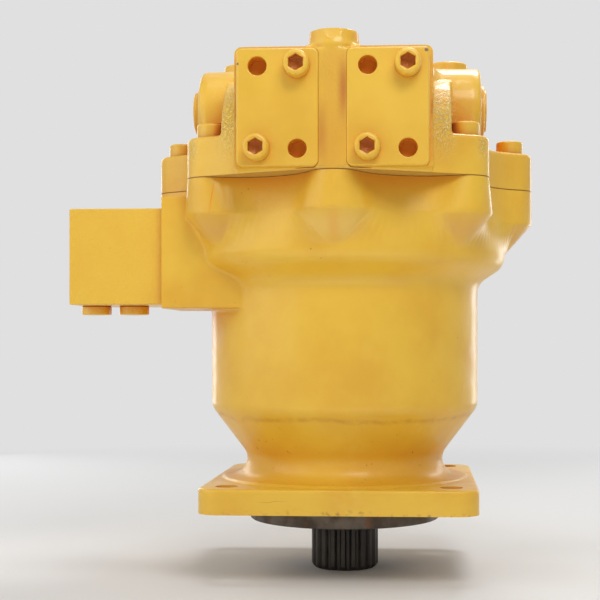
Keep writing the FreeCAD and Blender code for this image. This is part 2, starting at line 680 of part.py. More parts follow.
def cover_outside():
    """Cast outside of the rear cover."""
    plate = lug_outline().extrude(Vector(0, 0, COVER_PLATE_HEIGHT))
    plate = plate.makeFillet(3.5, top_edges_at(plate, COVER_PLATE_TOP_Z))
    width = 2 * PORT_BLOCK_HALF_WIDTH
    depth = PORT_BLOCK_REAR_Y - PORT_FACE_Y
    middle_y = (PORT_BLOCK_REAR_Y + PORT_FACE_Y) / 2
    ports = extruded_z(rectangle(width, depth, 3.0, 0, middle_y), SEAM_Z, PORT_BLOCK_TOP_Z)
    ports = ports.makeFillet(2.5, top_edges_at(ports, PORT_BLOCK_TOP_Z))
    body_corners = [
        (-COVER_BODY_HALF_WIDTH, SEAM_Z, 0),
        (COVER_BODY_HALF_WIDTH, SEAM_Z, 0),
        (COVER_BODY_HALF_WIDTH, COVER_BODY_TOP_Z, COVER_BODY_CORNER_R),
        (-COVER_BODY_HALF_WIDTH, COVER_BODY_TOP_Z, COVER_BODY_CORNER_R),
    ]
    body = extruded_y(body_corners, PORT_BLOCK_REAR_Y - 10, COVER_BODY_REAR_Y)
    rear_edges = [e for e in body.Edges if e.BoundBox.YMin > COVER_BODY_REAR_Y - 1e-4
                  and e.BoundBox.ZMin > SEAM_Z + 1]
    body = body.makeFillet(10.0, rear_edges)
    relief = rod(RELIEF_BOSS_R, Vector(-RELIEF_BOSS_X, RELIEF_Y, RELIEF_Z),
                 Vector(RELIEF_BOSS_X, RELIEF_Y, RELIEF_Z))
    end_edges = [e for e in relief.Edges if abs(abs(e.CenterOfMass.x) - RELIEF_BOSS_X) < 1e-6]
    relief = relief.makeFillet(RELIEF_BOSS_EDGE_R, end_edges)
    parts = [plate, ports, body, relief, relief_cove(-1), relief_cove(1)]
    for side in (-1, 1):
        makeup = cylinder(MAKEUP_BOSS_R, SEAM_Z + 5, MAKEUP_BOSS_TOP_Z, side * MAKEUP_X, MAKEUP_Y)
        makeup = makeup.makeFillet(4.0, top_edges_at(makeup, MAKEUP_BOSS_TOP_Z))
        web = block(min(side * MAKEUP_X, 0), max(side * MAKEUP_X, 0), MAKEUP_Y - MAKEUP_BOSS_R + 4,
                    MAKEUP_Y + MAKEUP_BOSS_R - 4, SEAM_Z + 5, MAKEUP_BOSS_TOP_Z - 14)
        parts.extend([makeup, web])
    column = cylinder(LONG_BOSS_R, SEAM_Z, LONG_BOSS_TOP_Z, 0, -BOLT_CIRCLE_R)
    column = column.makeFillet(3.5, top_edges_at(column, LONG_BOSS_TOP_Z))
    parts.append(column)
    valley = PORT_SPACING / 2 - PLATE_WIDTH / 2 - 0.3
    shave = []
    for side in (-1, 1):
        near = side * valley
        far = side * (PORT_BLOCK_HALF_WIDTH + 5)
        shave.append(block(min(near, far), max(near, far), -BOLT_CIRCLE_R - LONG_BOSS_R - 1, PORT_FACE_Y,
                           PLATE_Z - PLATE_HEIGHT / 2 - 0.4, PORT_BLOCK_TOP_Z))
    return without(joined(parts), shave)


def cover_cavity():
    """Bores in the cover: bearing, ports, valves and screw holes."""
    cuts = []
    cuts.append(cylinder(SHAFT_BODY_R + 2, SEAM_Z - 1, REAR_BEARING_BOTTOM_Z + 1))
    cuts.append(cylinder(REAR_BEARING_R, REAR_BEARING_BOTTOM_Z, REAR_BEARING_TOP_Z))
    cuts.append(cylinder(REAR_BEARING_R - 6, REAR_BEARING_TOP_Z - 1, REAR_BEARING_TOP_Z + 12))
    for side, middle_angle in ((-1, 180), (1, 0)):
        cuts.append(arc_slot(KIDNEY_IN_R, KIDNEY_OUT_R, KIDNEY_SPAN, middle_angle, SEAM_Z - 1, KIDNEY_TOP_Z))
        port_x = side * PORT_SPACING / 2
        cuts.append(rod(PORT_BORE_R, Vector(port_x, PORT_FACE_Y - 1, PORT_Z),
                        Vector(port_x, PORT_FACE_Y + PORT_BORE_DEPTH, PORT_Z)))
        cuts.append(port_seal_ring(side, SEAL_GROOVE_GAP, 1))
        for x in (port_x - PORT_SCREW_DX / 2, port_x + PORT_SCREW_DX / 2):
            for z in (PLATE_Z - PORT_SCREW_DZ / 2, PLATE_Z + PORT_SCREW_DZ / 2):
                cuts.append(rod(PORT_SCREW_R + THREAD_GAP, Vector(x, PORT_FACE_Y - 1, z),
                                Vector(x, PORT_FACE_Y + PORT_SCREW_DEPTH, z)))
        bore_start = Vector(side * (RELIEF_BOSS_X + 1), RELIEF_Y, RELIEF_Z)
        cuts.append(rod(RELIEF_THREAD_R + THREAD_GAP, bore_start,
                        Vector(side * (RELIEF_CARTRIDGE_END_X - FACE_GAP), RELIEF_Y, RELIEF_Z)))
        cuts.append(rod(RELIEF_POPPET_R + 2, bore_start, Vector(side * RELIEF_SEAT_X, RELIEF_Y, RELIEF_Z)))
        cuts.append(rod(RELIEF_SEAT_R, bore_start, Vector(port_x, RELIEF_Y, RELIEF_Z)))
        makeup_top = MAKEUP_BOSS_TOP_Z + 1
        thread_z = MAKEUP_BOSS_TOP_Z - MAKEUP_THREAD_LENGTH - FACE_GAP
        cuts.append(cylinder(MAKEUP_THREAD_R + THREAD_GAP, thread_z, makeup_top, side * MAKEUP_X, MAKEUP_Y))
        cuts.append(cylinder(MAKEUP_POPPET_R + 1.5, MAKEUP_SEAT_Z, makeup_top, side * MAKEUP_X, MAKEUP_Y))
        cuts.append(cylinder(MAKEUP_SEAT_R, MAKEUP_SEAT_Z - 12, makeup_top, side * MAKEUP_X, MAKEUP_Y))
    for angle in bolt_angles():
        place = polar(BOLT_CIRCLE_R, angle)
        seat_z = SCREW_SEAT_Z
        pocket_r = SPOTFACE_R
        if angle == 270.0:
            seat_z = LONG_BOSS_TOP_Z - LONG_BOSS_RECESS
            pocket_r = COVER_SCREW_HEAD_R + 1.5
        cuts.append(cylinder(COVER_SCREW_R + SCREW_CLEARANCE, SEAM_Z - 1, seat_z + 1, place.x, place.y))
        cuts.append(cylinder(pocket_r, seat_z, LONG_BOSS_TOP_Z + 1, place.x, place.y))
    for angle in (DOWEL_ANGLE, DOWEL_ANGLE + 180):
        place = polar(DOWEL_CIRCLE_R, angle)
        cuts.append(cylinder(DOWEL_R + PRESS_GAP, SEAM_Z - 1, SEAM_Z + DOWEL_LENGTH / 2, place.x, place.y))
    pin = valve_plate_pin_place()
    cuts.append(cylinder(2 + PRESS_GAP, SEAM_Z - 1, SEAM_Z + 6, pin.x, pin.y))
    return cuts


def valve_plate_pin_place():
    """Where the locating pin of the valve plate stands."""
    return polar(VALVE_PLATE_R - 4, 90)


def rear_cover():
    """Cast valve cover with the port faces, relief valve bosses and make-up valve bosses."""
    return without(cover_outside(), cover_cavity())


def cover_bolts():
    """Seven short socket head screws and the long one through the front column."""
    screws = []
    for angle in bolt_angles():
        seat_z = SCREW_SEAT_Z
        if angle == 270.0:
            seat_z = LONG_BOSS_TOP_Z - LONG_BOSS_RECESS
        length = seat_z - SEAM_Z + screw_engagement(angle)
        screws.append(cap_screw(COVER_SCREW_R, COVER_SCREW_HEAD_R, 2 * COVER_SCREW_R,
                                polar(BOLT_CIRCLE_R, angle, seat_z), Vector(0, 0, 1), length))
    return screws


def cover_dowels():
    """Two pins that locate the cover on the casing."""
    pins = []
    for angle in (DOWEL_ANGLE, DOWEL_ANGLE + 180):
        place = polar(DOWEL_CIRCLE_R, angle)
        pins.append(cylinder(DOWEL_R, SEAM_Z - DOWEL_LENGTH / 2 + 0.2, SEAM_Z + DOWEL_LENGTH / 2 - 0.2,
                             place.x, place.y))
    return pins


def cover_seal_ring():
    """Seal ring in the casing's joint face."""
    half = SEAL_RING_WIDTH / 2
    return ring(SEAL_RING_R - half, SEAL_RING_R + half, SEAM_Z - SEAL_RING_WIDTH, SEAM_Z)


def port_screw_places(side):
    """(x, z) of the two fitted screws and the two open holes of a port plate."""
    port_x = side * PORT_SPACING / 2
    dx = PORT_SCREW_DX / 2
    dz = PORT_SCREW_DZ / 2
    fitted = [(port_x + dx, PLATE_Z + dz), (port_x - dx, PLATE_Z - dz)]
    open_holes = [(port_x - dx, PLATE_Z + dz), (port_x + dx, PLATE_Z - dz)]
    return fitted, open_holes


def port_plate(side):
    """Blanking plate over one main port."""
    corners = rectangle(PLATE_WIDTH, PLATE_HEIGHT, PLATE_CORNER_R, side * PORT_SPACING / 2, PLATE_Z)
    plate = extruded_y(corners, PLATE_FRONT_Y, PORT_FACE_Y)
    front_edges = [e for e in plate.Edges if e.BoundBox.YMax < PLATE_FRONT_Y + 1e-4]
    plate = plate.makeChamfer(0.8, front_edges)
    fitted, open_holes = port_screw_places(side)
    holes = [rod(PLATE_HOLE_R, Vector(x, PLATE_FRONT_Y - 1, z), Vector(x, PORT_FACE_Y + 1, z))
             for x, z in fitted + open_holes]
    return without(plate, holes)


def port_plate_bolts():
    """Two screws in each port plate, at its upper right and lower left corners."""
    screws = []
    for side in (-1, 1):
        for x, z in port_screw_places(side)[0]:
            screws.append(cap_screw(PORT_SCREW_R, PORT_SCREW_HEAD_R, 2 * PORT_SCREW_R,
                                    Vector(x, PLATE_FRONT_Y, z), Vector(0, -1, 0),
                                    PLATE_THICKNESS + PORT_SCREW_DEPTH - 3))
    return screws


def port_seal_ring(side, margin, proud):
    """Ring round a main port, wider by margin on each side and proud of the face."""
    inner_r = PORT_BORE_R + PORT_SEAL_GAP
    start = Vector(side * PORT_SPACING / 2, PORT_FACE_Y - proud, PORT_Z)
    end = Vector(side * PORT_SPACING / 2, PORT_FACE_Y + PORT_SEAL_WIDTH, PORT_Z)
    outer = rod(inner_r + PORT_SEAL_WIDTH + margin, start, end)
    return outer.cut(rod(inner_r - margin, start, end))


def port_plate_seals():
    """Seal ring round each main port."""
    return [port_seal_ring(side, 0, 0) for side in (-1, 1)]


def valve_plate():
    """Flat port plate between the cylinder block and the cover."""
    plate = ring(SHAFT_BODY_R + 3, VALVE_PLATE_R, VALVE_PLATE_Z, SEAM_Z)
    slots = [arc_slot(KIDNEY_IN_R, KIDNEY_OUT_R, KIDNEY_SPAN, angle, VALVE_PLATE_Z - 1, SEAM_Z + 1)
             for angle in (0, 180)]
    pin = valve_plate_pin_place()
    slots.append(cylinder(2 + PRESS_GAP, SEAM_Z - 4, SEAM_Z + 1, pin.x, pin.y))
    return without(plate, slots)


def valve_plate_pin():
    """Pin that stops the valve plate from turning."""
    pin = valve_plate_pin_place()
    return cylinder(2, SEAM_Z - 3.8, SEAM_Z + 5.8, pin.x, pin.y)


def swash_plate():
    """Fixed wedge that the piston shoes run round on."""
    top_z = SWASH_CENTRE_Z + SWASH_R
    blank = cylinder(SWASH_R - PRESS_GAP, SWASH_SEAT_Z, top_z)
    above = tilted(block(-2 * SWASH_R, 2 * SWASH_R, -2 * SWASH_R, 2 * SWASH_R, 0, 3 * SWASH_R))
    bore = cylinder(SHAFT_COLLAR_R + 1, SWASH_SEAT_Z - 1, SWASH_SEAT_Z + 6)
    through = cylinder(SWASH_HOLE_R, SWASH_SEAT_Z - 1, top_z)
    pins = []
    for angle in (0, 180):
        place = polar(SWASH_PIN_CIRCLE_R, angle)
        pins.append(cylinder(SWASH_PIN_R + PRESS_GAP, SWASH_SEAT_Z - 1, SWASH_SEAT_Z + SWASH_PIN_DEPTH,
                             place.x, place.y))
    return without(blank, [above, bore, through] + pins)


def swash_plate_pins():
    """Two pins that hold the swash plate against turning, in the outer bearing ring's seat."""
    pins = []
    for angle in (0, 180):
        place = polar(SWASH_PIN_CIRCLE_R, angle)
        pins.append(cylinder(SWASH_PIN_R, FRONT_BEARING_TOP_Z + 0.2, SWASH_SEAT_Z + SWASH_PIN_DEPTH - 0.2,
                             place.x, place.y))
    return pins


def bearing_outer_ring(race_r, outer_r, low_z, high_z):
    """Plain outer ring of a roller bearing."""
    return ring(race_r + RUN_GAP, outer_r - PRESS_GAP, low_z, high_z)


def bearing_inner_ring(bore_r, race_r, low_z, high_z):
    """Inner ring with two small flanges that guide the rollers."""
    flange = 3.0
    lip = 2.0
    profile = [
        (bore_r + PRESS_GAP, low_z, 0),
        (race_r + lip, low_z, 0),
        (race_r + lip, low_z + flange, 0),
        (race_r, low_z + flange, 0),
        (race_r, high_z - flange, 0),
        (race_r + lip, high_z - flange, 0),
        (race_r + lip, high_z, 0),
        (bore_r + PRESS_GAP, high_z, 0),
    ]
    return revolved(profile)


def rollers_with_cage(race_r, roller_r, count, low_z, high_z):
    """Roller set of one bearing as separate solids: the rollers and two cage rings."""
    flange = 3.0
    pitch_r = race_r + roller_r
    roller_low = low_z + flange + 0.3
    roller_high = high_z - flange - 0.3
    roller = cylinder(roller_r - RUN_GAP, roller_low, roller_high, pitch_r, 0)
    bars = around(cylinder(CAGE_THICKNESS / 3, roller_low - 1.5, roller_high + 1.5, pitch_r, 0),
                  count, 180.0 / count)
    rim_low = ring(pitch_r - 2.5, pitch_r + 2.5, roller_low - 2.3, roller_low - 0.2)
    rim_high = ring(pitch_r - 2.5, pitch_r + 2.5, roller_high + 0.2, roller_high + 2.3)
    return around(roller, count) + [joined([rim_low, rim_high] + bars)]


def shaft_seal():
    """Lip seal round the shaft."""
    profile = [
        (JOURNAL_R + RUN_GAP, SEAL_BOTTOM_Z + 5, 0),
        (JOURNAL_R + 5, SEAL_BOTTOM_Z, 0),
        (SEAL_OUTER_R - PRESS_GAP, SEAL_BOTTOM_Z, 0),
        (SEAL_OUTER_R - PRESS_GAP, SEAL_TOP_Z, 0),
        (SEAL_OUTER_R - 5, SEAL_TOP_Z, 0),
        (SEAL_OUTER_R - 5, SEAL_BOTTOM_Z + 3, 0),
        (JOURNAL_R + 4, SEAL_BOTTOM_Z + 9, 0),
        (JOURNAL_R + RUN_GAP, SEAL_BOTTOM_Z + 9, 0),
    ]
    return revolved(profile)


def seal_retaining_ring():
    """Internal circlip under the seal."""
    clip_z = SEAL_BOTTOM_Z - SEAL_CLIP_THICKNESS
    clip = ring(SEAL_OUTER_R - 4, SEAL_OUTER_R + SEAL_CLIP_GROOVE - 0.3, clip_z, SEAL_BOTTOM_Z)
    mouth = block(-5, 5, 0, SEAL_OUTER_R + 5, clip_z - 1, SEAL_BOTTOM_Z + 1)
    return clip.cut(mouth)


def splined_end():
    """Output spline with straight-flanked teeth that narrow outward."""
    core = cylinder(SPLINE_MINOR_R, SPLINE_END_Z, SPLINE_START_Z)
    step = 360.0 / SPLINE_TEETH
    root = polar(SPLINE_MINOR_R - 0.6, step * 0.34)
    tip = polar(SPLINE_MAJOR_R, step * 0.17)
    corners = [
        Vector(root.x, -root.y, SPLINE_END_Z),
        Vector(tip.x, -tip.y, SPLINE_END_Z),
        Vector(tip.x, tip.y, SPLINE_END_Z),
        Vector(root.x, root.y, SPLINE_END_Z),
        Vector(root.x, -root.y, SPLINE_END_Z),
    ]
    tooth = Part.Face(Part.makePolygon(corners)).extrude(Vector(0, 0, SPLINE_START_Z - SPLINE_END_Z))
    blank = joined([core] + around(tooth, SPLINE_TEETH))
    chamfered = revolved([
        (0, SPLINE_END_Z, 0),
        (SPLINE_MAJOR_R - 2.5, SPLINE_END_Z, 0),
        (SPLINE_MAJOR_R + 0.5, SPLINE_END_Z + 3, 0),
        (SPLINE_MAJOR_R + 0.5, SPLINE_START_Z + 1, 0),
        (0, SPLINE_START_Z + 1, 0),
    ])
    return blank.common(chamfered)


def drive_shaft():
    """One-piece shaft with the output spline, bearing journals and block spline."""
    collar_top = SWASH_SEAT_Z + 5
    ring_z = snap_ring_z()
    profile = [
        (0, SPLINE_START_Z - 1, 0),
        (SPLINE_MINOR_R, SPLINE_START_Z - 1, 0),
        (SPLINE_MINOR_R, SPLINE_START_Z, 0),
        (JOURNAL_R - 2, SPLINE_START_Z + 2, 0),
        (JOURNAL_R, SPLINE_START_Z + 4, 0),
        (JOURNAL_R, FRONT_BEARING_TOP_Z, 0),
        (SHAFT_COLLAR_R, FRONT_BEARING_TOP_Z, 0),
        (SHAFT_COLLAR_R, collar_top, 0),
        (SHAFT_BODY_R, collar_top, 0),
        (SHAFT_BODY_R, ring_z, 0),
        (SHAFT_BODY_R - 1.5, ring_z, 0),
        (SHAFT_BODY_R - 1.5, ring_z + SNAP_RING_THICKNESS, 0),
        (SHAFT_BODY_R, ring_z + SNAP_RING_THICKNESS, 0),
        (SHAFT_BODY_R, REAR_BEARING_BOTTOM_Z - 0.5, 0),
        (REAR_JOURNAL_R, REAR_BEARING_BOTTOM_Z, 0),
        (REAR_JOURNAL_R, REAR_BEARING_TOP_Z + 4, 0),
        (REAR_JOURNAL_R - 1.5, REAR_BEARING_TOP_Z + 5.5, 0),
        (0, REAR_BEARING_TOP_Z + 5.5, 0),
    ]
    return joined([revolved(profile), splined_end()])


def snap_ring_z():
    """Level of the ring that stops the cylinder block's spring washer."""
    return BLOCK_BOTTOM_Z + BLOCK_SPRING_POCKET + 1.5


def shaft_snap_ring():
    """Snap ring in the shaft's groove, above the block spring."""
    ring_z = snap_ring_z()
    clip = ring(SHAFT_BODY_R - 1.4, SHAFT_BODY_R + 2, ring_z, ring_z + SNAP_RING_THICKNESS)
    return clip.cut(block(-3, 3, 0, SHAFT_BODY_R + 4, ring_z - 1, ring_z + SNAP_RING_THICKNESS + 1))


def cylinder_block():
    """Barrel with the piston bores, kidney slots and outer teeth for the brake plates."""
    blank = cylinder(BLOCK_R, BLOCK_BOTTOM_Z, BLOCK_TOP_Z)
    teeth = around(block_tooth(BLOCK_R - 2, BLOCK_TOOTH_R, BRAKE_STOP_Z - 3, BRAKE_STACK_Z + 6),
                   BLOCK_TOOTH_COUNT)
    cuts = [cylinder(SHAFT_BODY_R + RUN_GAP, BLOCK_BOTTOM_Z - 1, BLOCK_TOP_Z + 1)]
    cuts.append(cylinder(BLOCK_SPRING_R + BLOCK_SPRING_WIRE_R + 0.6, BLOCK_BOTTOM_Z - 1,
                         BLOCK_BOTTOM_Z + BLOCK_SPRING_POCKET + 1.5))
    cuts.append(cylinder(SHAFT_BODY_R + 2.3, BLOCK_BOTTOM_Z, snap_ring_z() + SNAP_RING_THICKNESS + 0.2))
    bore_top = BLOCK_TOP_Z - 12
    bore = cylinder(PISTON_R + RUN_GAP, BLOCK_BOTTOM_Z - 1, bore_top, PISTON_CIRCLE_R, 0)
    slot = cylinder(4.5, bore_top - 1, BLOCK_TOP_Z + 1, PISTON_CIRCLE_R, 0)
    for shape in (bore, slot):
        cuts.extend(around(shape, PISTON_COUNT))
    return without(joined([blank] + teeth), cuts)


def block_tooth(inner_r, outer_r, low_z, high_z):
    """One outer tooth of the cylinder block, on the +X side."""
    half = math.radians(BLOCK_TOOTH_ANGLE / 2)
    width = 2 * outer_r * math.sin(half)
    return block(inner_r, outer_r, -width / 2, width / 2, low_z, high_z)


def disc_z(index):
    """Lower face of a brake disc, counted from the stop."""
    return BRAKE_STOP_Z + index * (DISC_THICKNESS + FACE_GAP)


def friction_plates():
    """Brake plates that turn with the cylinder block."""
    plates = []
    for k in range(SEPARATOR_COUNT - 1):
        low = disc_z(2 * k + 1)
        plate = ring(BLOCK_TOOTH_R - 3.5, BRAKE_BORE_R - 4, low, low + DISC_THICKNESS)
        notch = block_tooth(BLOCK_R - 4, BLOCK_TOOTH_R + 0.3, low - 1, low + DISC_THICKNESS + 1)
        notches = around(notch, BLOCK_TOOTH_COUNT)
        plates.append(plate.cut(notches))
    return plates


def separator_plates():
    """Steel plates held by four tabs in the casing's grooves."""
    plates = []
    for k in range(SEPARATOR_COUNT):
        low = disc_z(2 * k)
        plate = ring(BLOCK_TOOTH_R + 2.5, BRAKE_BORE_R - 0.3, low, low + DISC_THICKNESS)
        tab = cylinder(SEPARATOR_TAB_R, low, low + DISC_THICKNESS, BRAKE_BORE_R, 0)
        plates.append(joined([plate] + around(tab, SEPARATOR_TAB_COUNT, 45)))
    return plates


def brake_piston():
    """Stepped ring that springs press onto the brake plates and oil pressure lifts."""
    bottom_z = BRAKE_STACK_Z - FACE_GAP
    step_z = BRAKE_STEP_Z + 0.5
    profile = [
        (BRAKE_PISTON_R_IN, bottom_z, 0),
        (BRAKE_BORE_R - RUN_GAP, bottom_z, 0),
        (BRAKE_BORE_R - RUN_GAP, step_z, 0),
        (BRAKE_PISTON_BORE_R - RUN_GAP, step_z, 0),
        (BRAKE_PISTON_BORE_R - RUN_GAP, BRAKE_PISTON_TOP_Z, 0),
        (BRAKE_PISTON_R_IN, BRAKE_PISTON_TOP_Z, 0),
    ]
    pocket = cylinder(BRAKE_SPRING_R + 0.5, BRAKE_PISTON_TOP_Z - BRAKE_SPRING_POCKET,
                      BRAKE_PISTON_TOP_Z + 1, BRAKE_SPRING_CIRCLE_R, 0)
    return revolved(profile).cut(around(pocket, BRAKE_SPRING_COUNT, brake_spring_start()))


def brake_spring_start():
    """Angle of the first brake spring."""
    return 180.0 / BRAKE_SPRING_COUNT


def helical_spring(mean_r, wire_r, low_z, high_z, turns):
    """Open coil spring of square wire, swept along a helix."""
    pitch = (high_z - low_z - 2 * wire_r) / turns
    helix = Part.makeLongHelix(pitch, pitch * turns, mean_r, 0, False)
    corners = [(-1, -1), (1, -1), (1, 1), (-1, 1), (-1, -1)]
    section = Part.makePolygon([Vector(mean_r + u * wire_r, 0, v * wire_r) for u, v in corners])
    spring = Part.Wire(helix.Edges).makePipeShell([section], True, True)
    spring.translate(Vector(0, 0, low_z + wire_r))
    return spring


def spring_sleeve(outer_r, wall, low_z, high_z):
    """Close-coiled spring, drawn as its outer sleeve."""
    return ring(outer_r - wall, outer_r, low_z, high_z)


def brake_springs():
    """Springs between the cover and the brake piston."""
    pocket_floor = BRAKE_PISTON_TOP_Z - BRAKE_SPRING_POCKET
    sleeve = spring_sleeve(BRAKE_SPRING_R, BRAKE_SPRING_WALL, pocket_floor, SEAM_Z)
    sleeve.translate(Vector(BRAKE_SPRING_CIRCLE_R, 0, 0))
    return around(sleeve, BRAKE_SPRING_COUNT, brake_spring_start())


def block_spring():
    """Spring round the shaft that loads the spherical bush and the cylinder block."""
    low = BALL_CENTRE_Z + BUSH_ABOVE
    high = BLOCK_BOTTOM_Z + BLOCK_SPRING_POCKET + 1.5
    return helical_spring(BLOCK_SPRING_R, BLOCK_SPRING_WIRE_R, low, high, BLOCK_SPRING_TURNS)


def spherical_bush():
    """Ball-faced bush on the shaft that holds the retainer plate down."""
    ball = Part.makeSphere(BUSH_SPHERE_R - RUN_GAP, Vector(0, 0, BALL_CENTRE_Z))
    band = ring(SHAFT_BODY_R + RUN_GAP, BUSH_SPHERE_R + 4, BALL_CENTRE_Z - BUSH_BELOW,
                BALL_CENTRE_Z + BUSH_ABOVE)
    return ball.common(band)


def shoe_places():
    """Shoe centres in the swash face's own frame."""
    stretch = 1 / math.cos(SWASH_TILT)
    mean_r = PISTON_CIRCLE_R * (1 + stretch) / 2
    return [polar(mean_r, 360.0 * k / PISTON_COUNT) for k in range(PISTON_COUNT)]


def retainer_plate():
    """Plate that keeps the shoes on the swash face."""
    low = SHOE_FLANGE_THICKNESS + FACE_GAP
    plate = cylinder(RETAINER_R, low, low + RETAINER_THICKNESS)
    ball = Part.makeSphere(BUSH_SPHERE_R, Vector(0, 0, BALL_HEIGHT))
    holes = [cylinder(SHOE_NECK_R + 1.2, low - 1, low + RETAINER_THICKNESS + 1, p.x, p.y)
             for p in shoe_places()]
    return tilted(without(plate, [ball] + holes))


def piston_shoes():
    """Nine shoes with a ball socket each."""
    shoes = []
    for p in shoe_places():
        foot = cylinder(SHOE_FLANGE_R, FACE_GAP / 2, SHOE_FLANGE_THICKNESS, p.x, p.y)
        neck = cylinder(SHOE_NECK_R, FACE_GAP / 2, BALL_HEIGHT + 3.5, p.x, p.y)
        socket = Part.makeSphere(BALL_R + 1.2, Vector(p.x, p.y, BALL_HEIGHT))
        shoes.append(tilted(joined([foot, neck]).cut(socket)))
    return shoes


def pistons():
    """Nine hollow pistons with a ball end, each at its own stroke for the rest angle."""
    result = []
    for k in range(PISTON_COUNT):
        place = polar(PISTON_CIRCLE_R, 360.0 * k / PISTON_COUNT)
        ball_z = BALL_CENTRE_Z + place.y * math.tan(SWASH_TILT)
        skirt_z = ball_z + BALL_R + 8
        top_z = ball_z + PISTON_LENGTH
        ball = Part.makeSphere(BALL_R, Vector(place.x, place.y, ball_z))
        neck = Part.makeCone(NECK_OF_PISTON_R, PISTON_R - 2, skirt_z - ball_z - BALL_R / 2,
                             Vector(place.x, place.y, ball_z + BALL_R / 2))
        skirt = cylinder(PISTON_R, skirt_z, top_z, place.x, place.y)
        hollow = cylinder(PISTON_R - 4.5, skirt_z + 14, top_z + 1, place.x, place.y)
        result.append(joined([ball, neck, skirt]).cut(hollow))
    return result


def relief_cartridge(side):
    """Screwed-in body of a relief valve, with the stepped disc head seen outside."""
    centre = Vector(0, RELIEF_Y, RELIEF_Z)

    def along(x):
        return centre.add(Vector(side * x, 0, 0))

    step = rod(RELIEF_HEAD_R, along(RELIEF_BOSS_X), along(RELIEF_BOSS_X + RELIEF_HEAD_THICKNESS * 0.6))
    face = rod(RELIEF_HEAD_R - 3, along(RELIEF_BOSS_X), along(RELIEF_HEAD_X))
    thread = rod(RELIEF_THREAD_R, along(RELIEF_CARTRIDGE_END_X), along(RELIEF_BOSS_X + 1))
    hollow = rod(RELIEF_POPPET_R + 2, along(RELIEF_CARTRIDGE_END_X - 1), along(RELIEF_BOSS_X - 6))
    socket = hex_prism(12.0, along(RELIEF_HEAD_X - 5), Vector(side, 0, 0), 6)
    return without(joined([step, face, thread]), [hollow, socket])


def relief_poppet(side):
    """Cone-ended poppet that lifts off its seat at relief pressure."""
    axis = Vector(side, 0, 0)
    nose_length = 5.0
    seat = Vector(side * (RELIEF_SEAT_X + 0.3), RELIEF_Y, RELIEF_Z)
    nose = Part.makeCone(RELIEF_SEAT_R - 1.5, RELIEF_POPPET_R, nose_length, seat, axis)
    stem = rod(RELIEF_POPPET_R, seat.add(Vector(side * nose_length, 0, 0)),
               seat.add(Vector(side * RELIEF_POPPET_LENGTH, 0, 0)))
    return joined([nose, stem])


def relief_spring(side):
    """Spring between the poppet and the cartridge."""
    start = side * (RELIEF_SEAT_X + 0.3 + RELIEF_POPPET_LENGTH)
    end = side * (RELIEF_BOSS_X - 6)
    outer = rod(RELIEF_POPPET_R, Vector(start, RELIEF_Y, RELIEF_Z), Vector(end, RELIEF_Y, RELIEF_Z))
    inner = rod(RELIEF_POPPET_R - 1.5, Vector(start - side, RELIEF_Y, RELIEF_Z),
                Vector(end + side, RELIEF_Y, RELIEF_Z))
    return outer.cut(inner)


def makeup_plug(side):
    """Round plug over a make-up valve."""
    x = side * MAKEUP_X
    top_z = MAKEUP_BOSS_TOP_Z + MAKEUP_PLUG_HEIGHT
    head = cylinder(MAKEUP_PLUG_R, MAKEUP_BOSS_TOP_Z, top_z, x, MAKEUP_Y)
    head = head.makeChamfer(2.0, top_edges_at(head, top_z))
    thread_z = MAKEUP_BOSS_TOP_Z - MAKEUP_THREAD_LENGTH
    thread = cylinder(MAKEUP_THREAD_R, thread_z, MAKEUP_BOSS_TOP_Z, x, MAKEUP_Y)
    hollow = cylinder(MAKEUP_THREAD_R - 3.5, thread_z - 1, MAKEUP_BOSS_TOP_Z - 3, x, MAKEUP_Y)
    socket = hex_prism(14.0, Vector(x, MAKEUP_Y, top_z - 8), Vector(0, 0, 1), 9)
    return without(joined([head, thread]), [hollow, socket])


def makeup_poppet(side):
    """Check poppet that lets make-up oil into the port passage."""
    x = side * MAKEUP_X
    low = MAKEUP_SEAT_Z + 0.3
    disc = cylinder(MAKEUP_POPPET_R, low, low + 4, x, MAKEUP_Y)
    stem = cylinder(4, low + 4, low + 12, x, MAKEUP_Y)
    return joined([disc, stem])


def makeup_spring(side):
    """Light spring on a make-up poppet."""
    low = MAKEUP_SEAT_Z + 4.3
    sleeve = spring_sleeve(7.0, 1.2, low, MAKEUP_BOSS_TOP_Z - 3)
    sleeve.translate(Vector(side * MAKEUP_X, MAKEUP_Y, 0))
    return sleeve


def block_screw_ys():
    """Depths of the valve block's screws."""
    return (PAD_FRONT_Y + BLOCK_SCREW_INSET, VALVE_BLOCK_REAR_Y - BLOCK_SCREW_INSET)


def block_screw_zs():
    """Heights of the valve block's screws."""
    return (VALVE_BLOCK_BOTTOM_Z + BLOCK_SCREW_INSET, VALVE_BLOCK_TOP_Z - BLOCK_SCREW_INSET)


